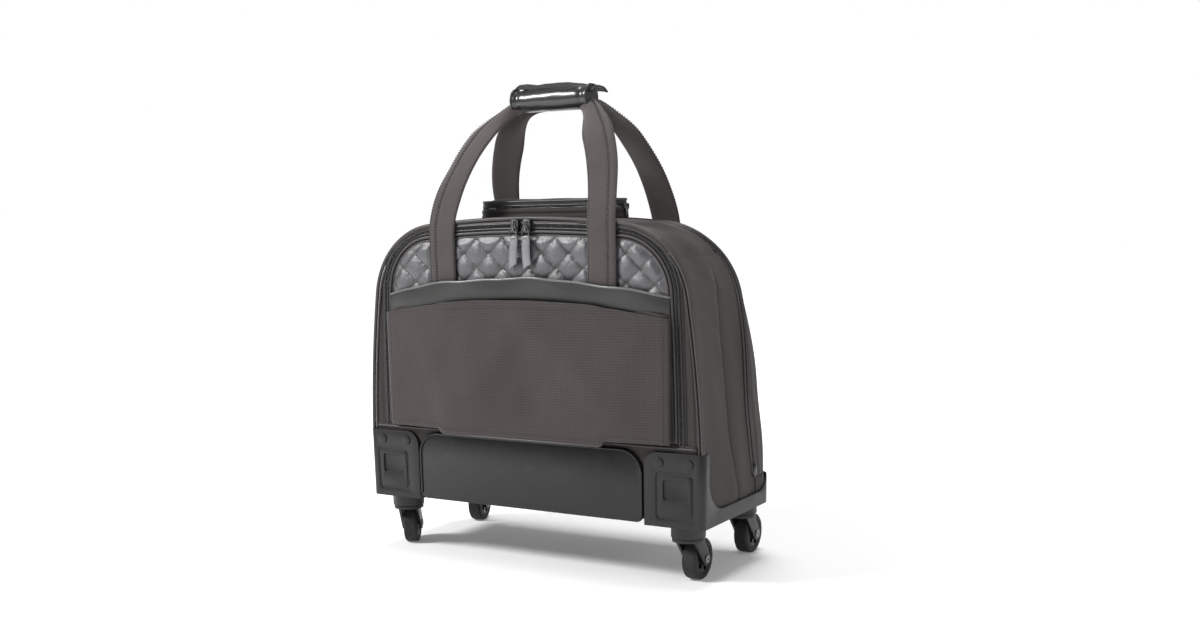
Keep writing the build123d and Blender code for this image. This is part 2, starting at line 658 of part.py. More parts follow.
# ------------------------------------------------------------------ front door
with BuildPart() as door_hollow:
    with BuildSketch(across(120)):
        add(body_arch(grow=-FABRIC, foot_z=50))
    extrude(amount=150)
    with BuildSketch(Plane.YZ.offset(-250)):
        add(front_face(inset=FABRIC))
    extrude(amount=500, mode=Mode.INTERSECT)
    with BuildSketch(Plane.XY.offset(FRONT_DOOR_Z - 50)):
        with Locations((0, BASE_FRONT_Y - FABRIC)):
            RectangleRounded(424.8 - 2 * FABRIC, 400, 24, align=(Align.CENTER, Align.MAX))
    extrude(amount=350, mode=Mode.INTERSECT)

with BuildPart() as front_door:
    with BuildSketch(across(110)):
        add(body_arch(foot_z=FRONT_DOOR_Z))
    extrude(amount=130)
    with BuildSketch(Plane.YZ.offset(-250)):
        add(front_face())
    extrude(amount=500, mode=Mode.INTERSECT)
    with BuildSketch(Plane.YZ.offset(-250)):
        add(front_line(shift=0.3))
    extrude(amount=500, mode=Mode.SUBTRACT)
    with BuildSketch(Plane.XY.offset(FRONT_DOOR_Z - 5)):
        with Locations((0, BASE_FRONT_Y)):
            RectangleRounded(424.8, 400, 27, align=(Align.CENTER, Align.MAX))
    extrude(amount=300, mode=Mode.INTERSECT)
    add(door_hollow.part, mode=Mode.SUBTRACT)
save(front_door, "front_door")

MOUTH_Y, MOUTH_Z = BASE_FRONT_Y - 6.0, 248.0  # rear edge of the pocket's sloping mouth
with BuildPart() as front_pocket:
    with BuildSketch(Plane.YZ.offset(-150)):
        with BuildLine():
            Polyline((BASE_FRONT_Y - 60, 118), (BASE_FRONT_Y, 118), (POCKET_FRONT_Y, 128))
            ThreePointArc((POCKET_FRONT_Y, 128), (POCKET_FRONT_Y - 2, 180), (POCKET_FRONT_Y - 11, 236))
            Polyline((POCKET_FRONT_Y - 11, 236), (MOUTH_Y, MOUTH_Z), (BASE_FRONT_Y - 60, MOUTH_Z))
            Line((BASE_FRONT_Y - 60, MOUTH_Z), (BASE_FRONT_Y - 60, 118))
        make_face()
        add(front_face(inset=-0.5), mode=Mode.SUBTRACT)
    extrude(amount=300)
save(front_pocket, "front_pocket")

with BuildPart() as front_pocket_zip:
    with BuildSketch(Plane.YZ.offset(-135)):
        Polygon(
            (POCKET_FRONT_Y - 10.6, 236.3),
            (MOUTH_Y + 0.4, MOUTH_Z + 0.3),
            (MOUTH_Y + 1.4, MOUTH_Z + 1.7),
            (POCKET_FRONT_Y - 9.6, 237.7),
            align=None,
        )
    extrude(amount=270)
save(front_pocket_zip, "front_pocket_zip")

with BuildPart() as front_strap_bases:
    with BuildSketch(Plane.YZ.offset(-STRAP_X - STRAP_WIDTH / 2)):
        add(front_face(inset=-2.8))
        with Locations((0, 344.6)):
            Rectangle(600, 100, align=(Align.CENTER, Align.MIN), mode=Mode.SUBTRACT)
        with Locations((0, 256)):
            Rectangle(600, 300, align=(Align.CENTER, Align.MAX), mode=Mode.SUBTRACT)
        add(front_face(inset=-0.3), mode=Mode.SUBTRACT)
    extrude(amount=2 * STRAP_X + STRAP_WIDTH)
    with BuildSketch(Plane.XY.offset(250)):
        Rectangle(2 * STRAP_X - STRAP_WIDTH, 400)
    extrude(amount=120, mode=Mode.SUBTRACT)
save(front_strap_bases, "front_strap_bases")

# ------------------------------------------------------------------ zip sliders and their pulls
ZIP_Z = 369.0  # middle of the rear chain at the crown of the door
SLIDER_FACE_Y = REAR_Y - 6.0
RING_Y = SLIDER_FACE_Y - 1.2
RING_R, RING_WIRE = 4.3, 0.7

for slider_side, slider_x in (("left", -4.0), ("right", 11.0)):
    with BuildPart() as rear_slider:
        with BuildSketch(across(REAR_Y - 2.0)):
            with Locations((slider_x, ZIP_Z)):
                RectangleRounded(9, 13, 2)
        extrude(amount=4)
        # bridge that the pull ring hangs from
        with BuildSketch(Plane.YZ.offset(slider_x - 1.1)):
            with Locations((SLIDER_FACE_Y + 0.5, ZIP_Z)):
                Rectangle(3.7, 10, align=(Align.MAX, Align.CENTER))
            with Locations((SLIDER_FACE_Y, ZIP_Z)):
                Rectangle(2.2, 8, align=(Align.MAX, Align.CENTER), mode=Mode.SUBTRACT)
        extrude(amount=2.2)
    save(rear_slider, f"rear_slider_{slider_side}")

    with BuildPart() as rear_pull:
        with BuildSketch(Plane(origin=(slider_x, RING_Y, ZIP_Z - RING_R), x_dir=(1, 0, 0), z_dir=(0, 0, 1))):
            with Locations((RING_R, 0)):
                Circle(RING_WIRE)
        ring_axis = Axis((slider_x, RING_Y, ZIP_Z - RING_R), (0, 1, 0))
        revolve(axis=ring_axis)
        with BuildSketch(across(RING_Y + 0.8)):
            with Locations((slider_x, ZIP_Z - 2 * RING_R + 0.6)):
                Rectangle(10, 33.5, align=(Align.CENTER, Align.MAX))
        extrude(amount=1.6)
    save(rear_pull, f"rear_pull_{slider_side}")

FRONT_CHAIN_Y = REAR_Y + 94.0  # middle of the front chain at the crown
for slider_side, mirror_sign in (("left", -1), ("right", 1)):
    with BuildPart() as front_slider:
        with BuildSketch(Plane.XY.offset(CROWN_Z + CHAIN + 0.5)):
            with Locations((mirror_sign * 8, FRONT_CHAIN_Y)):
                RectangleRounded(13, 7, 2)
            with Locations((mirror_sign * 26, FRONT_CHAIN_Y)):
                Rectangle(34, 6)
        extrude(amount=1.8)
        with BuildSketch(Plane.XY.offset(CROWN_Z + CHAIN + 2.3)):
            with Locations((mirror_sign * 8, FRONT_CHAIN_Y)):
                RectangleRounded(10, 3, 1)
        extrude(amount=2)
    save(front_slider, f"front_slider_{slider_side}")
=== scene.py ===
"""Soft goods, finishes and studio for a rolling laptop case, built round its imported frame.

Shapes are worked out in millimetres and become metres as each mesh is made. Depths named D are
counted forward from the outer face of the rear door.
"""

import json
import math

import bmesh
import bpy
import numpy as np
from mathutils import Matrix, Vector

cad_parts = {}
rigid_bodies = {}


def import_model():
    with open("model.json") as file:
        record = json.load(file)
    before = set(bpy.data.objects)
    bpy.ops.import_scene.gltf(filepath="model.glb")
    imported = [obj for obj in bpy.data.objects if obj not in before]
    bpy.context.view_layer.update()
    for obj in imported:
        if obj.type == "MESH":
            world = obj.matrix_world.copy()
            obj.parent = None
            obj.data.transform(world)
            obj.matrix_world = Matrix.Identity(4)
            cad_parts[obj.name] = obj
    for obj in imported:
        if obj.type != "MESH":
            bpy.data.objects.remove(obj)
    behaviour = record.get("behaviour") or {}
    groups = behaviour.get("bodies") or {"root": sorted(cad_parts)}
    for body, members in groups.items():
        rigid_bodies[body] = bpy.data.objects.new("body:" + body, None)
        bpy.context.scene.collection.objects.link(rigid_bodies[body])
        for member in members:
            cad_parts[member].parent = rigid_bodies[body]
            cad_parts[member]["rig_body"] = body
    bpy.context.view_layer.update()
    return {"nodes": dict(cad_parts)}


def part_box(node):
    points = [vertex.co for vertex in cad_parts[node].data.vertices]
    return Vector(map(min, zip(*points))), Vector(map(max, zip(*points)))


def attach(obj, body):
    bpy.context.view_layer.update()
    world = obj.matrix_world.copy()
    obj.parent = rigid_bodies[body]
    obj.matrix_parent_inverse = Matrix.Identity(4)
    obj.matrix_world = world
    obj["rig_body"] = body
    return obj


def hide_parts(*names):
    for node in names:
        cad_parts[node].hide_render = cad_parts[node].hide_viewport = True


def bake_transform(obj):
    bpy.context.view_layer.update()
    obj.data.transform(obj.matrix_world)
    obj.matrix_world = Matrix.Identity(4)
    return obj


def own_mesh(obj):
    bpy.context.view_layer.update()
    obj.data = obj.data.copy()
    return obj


bl_info = {
    "name": "Rolling Laptop Case",
    "version": (1, 0, 0),
    "blender": (4, 5, 0),
    "location": "View3D > Sidebar > Case",
    "description": "Sews the fabric, leather and zips of a rolling laptop case round its frame",
    "category": "Object",
}

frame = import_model()

MM = 0.001
LOW = {name: np.array(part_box(name)[0]) / MM for name in frame["nodes"]}
HIGH = {name: np.array(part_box(name)[1]) / MM for name in frame["nodes"]}
REAR = LOW["laptop_door"][1]
DOOR_FOOT = LOW["laptop_door"][2]
FRONT_FOOT = LOW["front_door"][2]
WELL_MARGIN = 1.5
QUILT_X, QUILT_Z = 9.7, 326.0  # one crossing of the quilting lines
WELL_MIDDLE = (LOW["handle_lid"][1] + HIGH["handle_lid"][1]) / 2
STRAP_X = HIGH["rear_strap"][0] - 17.0
GRIP_Z = (LOW["handle_wrap"][2] + HIGH["handle_wrap"][2]) / 2
GRIP_Y = (LOW["handle_wrap"][1] + HIGH["handle_wrap"][1]) / 2


# ---------------------------------------------------------------- shader maths
class Wire:
    """A node's output that can stand in a sum."""

    def __init__(self, finish, socket):
        self.finish, self.socket = finish, socket

    def _sum(self, operation, *values):
        return self.finish.add("ShaderNodeMath", {"operation": operation}, dict(enumerate(values)))

    def __add__(self, other):
        return self._sum("ADD", self, other)

    def __sub__(self, other):
        return self._sum("SUBTRACT", self, other)

    def __rsub__(self, other):
        return self._sum("SUBTRACT", other, self)

    def __mul__(self, other):
        return self._sum("MULTIPLY", self, other)

    def __truediv__(self, other):
        return self._sum("DIVIDE", self, other)

    def __pow__(self, other):
        return self._sum("POWER", self, other)

    __radd__, __rmul__ = __add__, __mul__

    def sine(self):
        return self._sum("SINE", self)

    def size(self):
        return self._sum("ABSOLUTE", self)

    def clamped(self, low, high):
        """0 below low, 1 above high, straight in between."""
        inputs = {"Value": self, "From Min": low, "From Max": high}
        return self.finish.add("ShaderNodeMapRange", {"clamp": True}, inputs)


class Finish:
    """A procedural material on one Principled surface."""

    def __init__(self, name, color, roughness, **constants):
        self.material = bpy.data.materials.new(name)
        self.material.use_nodes = True
        self.tree = self.material.node_tree
        self.tree.nodes.clear()
        self.surface = self.tree.nodes.new("ShaderNodeBsdfPrincipled")
        end = self.tree.nodes.new("ShaderNodeOutputMaterial")
        self.tree.links.new(self.surface.outputs[0], end.inputs[0])
        self.material.diffuse_color = (*color, 1)
        self.put("Base Color", (*color, 1))
        self.put("Roughness", roughness)
        for socket, value in constants.items():
            self.put(socket.replace("_", " "), value)

    def put(self, socket, value):
        """Set or link one socket of the surface."""
        self.fill(self.surface.inputs[socket], value)

    def fill(self, socket, value):
        if isinstance(value, Wire):
            self.tree.links.new(value.socket, socket)
        else:
            socket.default_value = value

    def add(self, kind, settings, inputs, output=0):
        """Any node: its type, its settings, then the values or links of its sockets."""
        node = self.tree.nodes.new(kind)
        for setting, value in settings.items():
            setattr(node, setting, value)
        for socket, value in inputs.items():
            self.fill(node.inputs[socket], value)
        return Wire(self, node.outputs[output])

    def place(self):
        """Where a point lies on the piece, in metres."""
        return self.add("ShaderNodeTexCoord", {}, {}, "Object")

    def axes(self):
        place = self.place()
        return [self.add("ShaderNodeSeparateXYZ", {}, {"Vector": place}, axis) for axis in "XYZ"]

    def cloud(self, size, detail=3.0, rough=0.55):
        """Soft mottling, about 0 to 1, with patches of the given size in millimetres."""
        inputs = {"Vector": self.place(), "Scale": 1000.0 / size, "Detail": detail, "Roughness": rough}
        return self.add("ShaderNodeTexNoise", {}, inputs, 0)

    def cells(self, size):
        inputs = {"Vector": self.place(), "Scale": 1000.0 / size}
        return self.add("ShaderNodeTexVoronoi", {"feature": "F1"}, inputs, 0)

    def tint(self, mask, first, second):
        """A colour that goes from first to second with mask."""
        a = first if isinstance(first, Wire) else (*first, 1)
        b = second if isinstance(second, Wire) else (*second, 1)
        return self.add("ShaderNodeMix", {"data_type": "RGBA"}, {0: mask, 6: a, 7: b}, 2)

    def raise_up(self, height, depth, strength=1.0):
        """Bump by height, depth in millimetres."""
        inputs = {"Height": height, "Distance": depth * MM, "Strength": strength}
        self.put("Normal", self.add("ShaderNodeBump", {}, inputs))

    def twill(self, pitch):
        """Raised dots where diagonal threads cross, on any upright or level face."""
        x, y, z = self.axes()
        turn = 2 * math.pi / (pitch * MM)
        rising, falling = ((x + y + z) * turn).sine(), ((x + y - z) * turn).sine()
        return rising * falling * 0.5 + 0.5


class Sky(Finish):
    """The world: white behind the case, dimmer where it lights it."""

    def __init__(self, world, fill):
        world.use_nodes = True
        self.tree = world.node_tree
        self.surface = self.tree.nodes["Background"]
        self.put("Color", (1, 1, 1, 1))
        seen = self.add("ShaderNodeLightPath", {}, {}, "Is Camera Ray")
        self.put("Strength", seen * (1 - fill) + fill)


def shade(color, factor):
    return tuple(channel * factor for channel in color)


def woven(name, color, pitch, contrast=0.5, depth=0.12, sheen=0.12, patch=55.0, rough=0.82):
    """Dense fabric with a visible weave, mottled and slightly rubbed."""
    f = Finish(name, color, rough, Sheen_Weight=sheen, Sheen_Roughness=0.4, Specular_IOR_Level=0.2)
    weave, mottle, fuzz = f.twill(pitch), f.cloud(patch), f.cloud(1.3, 2.0)
    f.put("Base Color", f.tint(
        (weave * contrast + mottle * 0.55 + fuzz * 0.35).clamped(0.25, 1.15),
        shade(color, 0.66), shade(color, 1.32)))
    f.put("Roughness", mottle * 0.12 + (rough - 0.07))
    f.raise_up(weave * 0.7 + fuzz * 0.6, depth)
    return f


def satin_quilt(name, color):
    """Smooth satin with fine weft lines and puckers, its colour darkened along the seam valleys between the
    puffs as painted shade.
    """
    f = Finish(name, color, 0.36, Sheen_Weight=0.3, Sheen_Roughness=0.3, Specular_IOR_Level=0.8)
    x, _, z = f.axes()
    weft = ((z + x * 0.03) * (2 * math.pi / 0.0011)).sine() * 0.5 + 0.5
    pucker, mottle = f.cloud(7.0, 4.0, 0.6), f.cloud(40.0)
    look = bpy.context.scene.laptop_case_look
    across, up = (x - QUILT_X * MM) / look.quilt_width, (z - QUILT_Z * MM) / look.quilt_height
    seam_shade_mask = ((across + up) * math.pi).sine().size() * ((across - up) * math.pi).sine().size()
    satin = f.tint((pucker * 0.6 + mottle * 0.5).clamped(0.25, 0.9), shade(color, 0.72), shade(color, 1.3))
    # Painted shade: the colour drops to a third of the satin's along the seam valleys between the puffs.
    f.put("Base Color", f.tint(seam_shade_mask.clamped(0.0, 0.16), shade(color, 0.3), satin))
    f.put("Roughness", pucker * 0.2 + 0.3)
    f.raise_up(pucker * 1.0 + weft * 0.08, 0.75)
    return f


def leather(name, color, rough, grain, depth, coat=0.0, wear=0.4):
    """Pebbled leather or patent film, with creases and scuffed high spots."""
    f = Finish(name, color, rough, Coat_Roughness=0.12, Specular_IOR_Level=0.5)
    pebble, crease, scuff = f.cells(grain), f.cloud(grain * 9, 5.0, 0.6), f.cloud(32.0, 5.0, 0.7)
    f.put("Base Color", f.tint((scuff * wear + pebble * 0.4).clamped(0.2, 0.9),
                               shade(color, 0.75), shade(color, 1.4)))
    f.put("Roughness", scuff * 0.2 + (rough - 0.08))
    f.put("Coat Weight", (1.0 - scuff * 0.35) * coat)
    f.raise_up(crease * 0.9 - pebble * 0.5, depth)
    return f


def moulded(name, color, rough, grain=0.55, depth=0.04, wear=0.35):
    """Injection-moulded plastic: spark-eroded grain, faint flow marks and handling rub."""
    f = Finish(name, color, rough, Specular_IOR_Level=0.42)
    speck, rub, flow = f.cloud(grain, 2.0), f.cloud(26.0, 5.0, 0.65), f.cloud(90.0, 2.0)
    f.put("Base Color", f.tint((rub * wear + flow * 0.4 + speck * 0.25).clamped(0.25, 0.85),
                               shade(color, 0.8), shade(color, 1.3)))
    f.put("Roughness", rub * 0.22 + speck * 0.08 + (rough - 0.15))
    f.raise_up(speck, depth)
    return f


def metal(name, color, rough, along="Z", brush=0.35):
    """Brushed or plated metal with fine lines and dulled patches."""
    f = Finish(name, color, rough, Metallic=1.0)
    axes = dict(zip("XYZ", f.axes()))
    across = sum(axes[a] for a in "XY" if a != along) if along == "Z" else axes["Z"]
    lines = f.add("ShaderNodeTexNoise", {"noise_dimensions": "1D"},
                  {"W": across * 9000.0, "Detail": 2.0}, 0)
    dull = f.cloud(9.0, 4.0, 0.6)
    f.put("Base Color", f.tint((lines * 0.5 + dull * 0.5).clamped(0.3, 0.7),
                               shade(color, 0.82), shade(color, 1.15)))
    f.put("Roughness", dull * 0.2 + lines * brush * 0.3 + (rough - 0.1))
    f.raise_up(lines, 0.012)
    return f


def tyre(name, color):
    """Soft rubber tread, dusty, with fine moulding rings."""
    f = Finish(name, color, 0.72, Specular_IOR_Level=0.35)
    dust, speck = f.cloud(6.0, 5.0, 0.7), f.cloud(0.7, 2.0)
    f.put("Base Color", f.tint(dust.clamped(0.35, 0.8), shade(color, 0.8), shade(color, 2.0)))
    f.put("Roughness", dust * 0.2 + 0.6)
    f.raise_up(speck + dust * 0.5, 0.08)
    return f


def spun(name, color):
    """Twisted sewing thread."""
    f = Finish(name, color, 0.6, Sheen_Weight=0.3, Specular_IOR_Level=0.4)
    x, y, z = f.axes()
    twist = ((x * 0.8 + y + z) * (2 * math.pi / 0.0007)).sine() * 0.5 + 0.5
    f.put("Base Color", f.tint(twist, shade(color, 0.7), shade(color, 1.25)))
    f.raise_up(twist, 0.08)
    return f


def floor_paint(name, color):
    f = Finish(name, color, 1.0, Specular_IOR_Level=0.0, Emission_Strength=1.0)
    x, y, _ = f.axes()
    # Painted light: the floor glows, its emission rising from dim near the case to bright far out, fading
    # into the white sky.
    painted_glow_mask = ((x * x + y * y) ** 0.5).clamped(0.35, 1.5)
    f.put("Emission Color", f.tint(painted_glow_mask, (0.12, 0.12, 0.12), (0.75, 0.75, 0.75)))
    f.put("Base Color", f.tint(f.cloud(900.0, 2.0), shade(color, 0.995), color))
    return f


FINISHES = {}


def finish(name):
    """The named material, made when first asked for."""
    if name not in FINISHES:
        look = bpy.context.scene.laptop_case_look
        fabric, hard = tuple(look.fabric), tuple(look.plastic)
        recipes = {
            "body_fabric": lambda: woven("body_fabric", fabric, 2.6, 0.5),
            "sleeve_fabric": lambda: woven("sleeve_fabric", fabric, 5.6, 0.85, 0.25, 0.2, 70.0),
            "strap_fabric": lambda: woven("strap_fabric", shade(fabric, 1.5), 1.5, 0.35, 0.1, 0.35, 40.0),
            "zip_tape": lambda: woven("zip_tape", shade(fabric, 0.72), 1.2, 0.4, 0.1, 0.2, 30.0, 0.6),
            "lid_fabric": lambda: woven("lid_fabric", shade(fabric, 0.85), 1.6, 0.4, 0.1, 0.3, 40.0, 0.7),
            "lining": lambda: woven("lining", shade(fabric, 1.25), 1.0, 0.3, 0.08, 0.3, 60.0),
            "piping": lambda: leather("piping", shade(fabric, 0.78), 0.5, 1.4, 0.08, 0.1),
            "quilt": lambda: satin_quilt("quilt", tuple(look.quilt)),
            "trim_leather": lambda: leather("trim_leather", tuple(look.trim), 0.42, 1.1, 0.08, 0.15),
            # Lighter leather for the trim's top roll: a painted highlight along the band's edge.
            "trim_edge_highlight": lambda: leather("trim_edge_highlight", (0.1, 0.1, 0.1), 0.28, 1.1, 0.05, 0.4),
            "patent_leather": lambda: leather(
                "patent_leather", (0.012, 0.0115, 0.012), 0.3, 5.0, 0.1, 0.5, 0.2),
            "flap_leather": lambda: leather("flap_leather", (0.005, 0.0048, 0.005), 0.68, 3.0, 0.2, 0.0, 0.2),
            "zip_coil": lambda: moulded("zip_coil", (0.03, 0.03, 0.031), 0.26),
            "rail_plastic": lambda: moulded("rail_plastic", hard, 0.42, 0.55, 0.02, 0.25),
            "kick_plastic": lambda: moulded("kick_plastic", shade(hard, 0.7), 0.3, 0.8, 0.001, 0.08),
            "board": lambda: moulded("board", shade(hard, 0.9), 0.6),
            "handle_plastic": lambda: moulded("handle_plastic", shade(hard, 0.8), 0.4),
            "button_plastic": lambda: moulded("button_plastic", (0.1, 0.1, 0.11), 0.3),
            "bush_plastic": lambda: moulded("bush_plastic", (0.25, 0.25, 0.25), 0.4),
            "hub_plastic": lambda: moulded("hub_plastic", shade(hard, 0.6), 0.42),
            "tyre_rubber": lambda: tyre("tyre_rubber", (0.016, 0.016, 0.016)),
            "axle_steel": lambda: metal("axle_steel", (0.3, 0.3, 0.31), 0.38),
            "tube_aluminium": lambda: metal("tube_aluminium", (0.55, 0.55, 0.56), 0.35),
            "slider_metal": lambda: metal("slider_metal", (0.12, 0.12, 0.125), 0.3),
            "pull_tab": lambda: leather("pull_tab", (0.19, 0.19, 0.2), 0.4, 0.9, 0.12, 0.2, 0.5),
            "thread": lambda: spun("thread", shade(fabric, 0.3)),
            "floor": lambda: floor_paint("floor", tuple(look.floor)),
        }
        FINISHES[name] = recipes[name]().material
    return FINISHES[name]


# ---------------------------------------------------------------- shapes, in millimetres
def resample(line, count, values=None):
    """Points spread evenly along a line, or the values that its points carry there."""
    line = np.asarray(line, float)
    values = line if values is None else np.broadcast_to(np.asarray(values, float), line.shape)
    run = np.concatenate([[0], np.cumsum(np.linalg.norm(np.diff(line, axis=0), axis=1))])
    at = np.linspace(0, run[-1], count)
    return np.stack([np.interp(at, run, values[:, k]) for k in range(values.shape[1])], axis=1)


def smooth_line(points, count):
    """An even, smooth line through the points."""
    p = np.asarray(points, float)
    p = np.concatenate([[2 * p[0] - p[1]], p, [2 * p[-1] - p[-2]]])
    pieces = []
    for a, b, c, d in zip(p, p[1:], p[2:], p[3:]):
        t = np.linspace(0, 1, 24, endpoint=False)[:, None]
        pieces.append(0.5 * (2 * b + (c - a) * t + (2 * a - 5 * b + 4 * c - d) * t**2
                             + (3 * b - a - 3 * c + d) * t**3))
    return resample(np.concatenate([*pieces, [p[-2]]]), count)


def unit(v):
    return v / np.maximum(np.linalg.norm(v, axis=-1, keepdims=True), 1e-9)


def ease(value, low, high):
    t = np.clip((np.asarray(value, float) - low) / (high - low), 0, 1)
    return t * t * (3 - 2 * t)


def ripple(points, size, seed):
    """Gentle irregular waves, about -1 to 1, the same on every run."""
    rng, total = np.random.default_rng(seed), 0
    for _ in range(6):
        direction = unit(rng.normal(size=3)) * (2 * math.pi / (size * rng.uniform(0.7, 1.5)))
        total = total + np.sin(points @ direction + rng.uniform(0, 2 * math.pi))
    return total / 3.0


def circle_through(a, b, c):
    (ax, az), (bx, bz), (cx, cz) = a, b, c
    d = 2 * (ax * (bz - cz) + bx * (cz - az) + cx * (az - bz))
    sa, sb, sc = ax**2 + az**2, bx**2 + bz**2, cx**2 + cz**2
    x = (sa * (bz - cz) + sb * (cz - az) + sc * (az - bz)) / d
    z = (sa * (cx - bx) + sb * (ax - cx) + sc * (bx - ax)) / d
    return x, z, math.hypot(ax - x, az - z)


class Arch:
    """Outline from behind: two bowed sides, rounded shoulders and a bowed top."""

    def __init__(self, foot, middle, corner, crown, radius):
        self.side = circle_through(foot, middle, corner)
        self.top = circle_through(corner, (0, crown), (-corner[0], corner[1]))
        (sx, sz, sr), (_, tz, tr) = self.side, self.top
        reach = math.hypot(sx, sz - tz)
        along = ((tr - radius) ** 2 - (sr - radius) ** 2 + reach**2) / (2 * reach)
        height = math.sqrt((tr - radius) ** 2 - along**2)
        aim = math.atan2(sz - tz, sx)
        tips = [aim + math.atan2(sign * height, along) for sign in (-1, 1)]
        self.centre = max(((tr - radius) * math.cos(t), tz + (tr - radius) * math.sin(t)) for t in tips)
        self.radius = radius

    def line(self, grow, foot_z, count):
        """Evenly spaced points from the right foot over the top to the left foot."""
        (sx, sz, sr), (_, tz, tr), (cx, cz) = self.side, self.top, self.centre
        start = math.asin((foot_z - sz) / (sr + grow))
        low, high = math.atan2(cz - sz, cx - sx), math.atan2(cz - tz, cx)
        runs = [(sx, sz, sr, start, low), (cx, cz, self.radius, low, high), (0, tz, tr, high, math.pi / 2)]
        half = []
        for x, z, r, first, last in runs:
            turn = np.linspace(first, last, 80)
            half.append(np.stack([x + (r + grow) * np.cos(turn), z + (r + grow) * np.sin(turn)], 1))
        half = np.concatenate(half)
        return resample(np.concatenate([half, half[::-1] * (-1, 1)]), count)


BODY = Arch((210.4, 20.0), (208.0, 197.0), (184.5, 361.5), 376.0, 85.0)
DOOR = Arch((183.0, 60.0), (181.5, 220.0), (175.0, 354.0), 364.0, 60.0)


def outward(line):
    """Unit normals of a 2-D line that runs from the right foot over the top."""
    step = unit(np.gradient(line, axis=0))
    return np.stack([step[:, 1], -step[:, 0]], 1)


def seam_depth(z):
    """D of the front zip line at height z; it pulls back where the side sags."""
    z = np.asarray(z, float)
    high = [60, 92, 136, 176, 210, 249, 290, 334, 362, 400]
    total = sum(np.interp(z + s, high, [131, 130, 121, 115, 117, 121, 120, 110, 99, 88])
                for s in range(-16, 17, 2))
    return total / 17


def face_depth(z):
    """D of the flat front at height z."""
    y, centre_z, r = circle_through((175, 100), (162, 240), (116, 378))
    z = np.asarray(z, float)
    return np.where(z < 100, 175.0, y + np.sqrt(r**2 - (z - centre_z) ** 2))


def sag_in(points):
    """How far the front pulls back at the case's waist, at each (x, z)."""
    return 5.0 * ease(np.abs(points[..., 0]), 150, 205) * np.exp(-(((points[..., 1] - 178) / 34) ** 2))


def quads(rows, cols):
    ids = np.arange(rows * cols).reshape(rows, cols)
    a, b, c, d = ids[:-1, :-1], ids[1:, :-1], ids[1:, 1:], ids[:-1, 1:]
    return np.stack([a, b, c, d], -1).reshape(-1, 4).tolist()


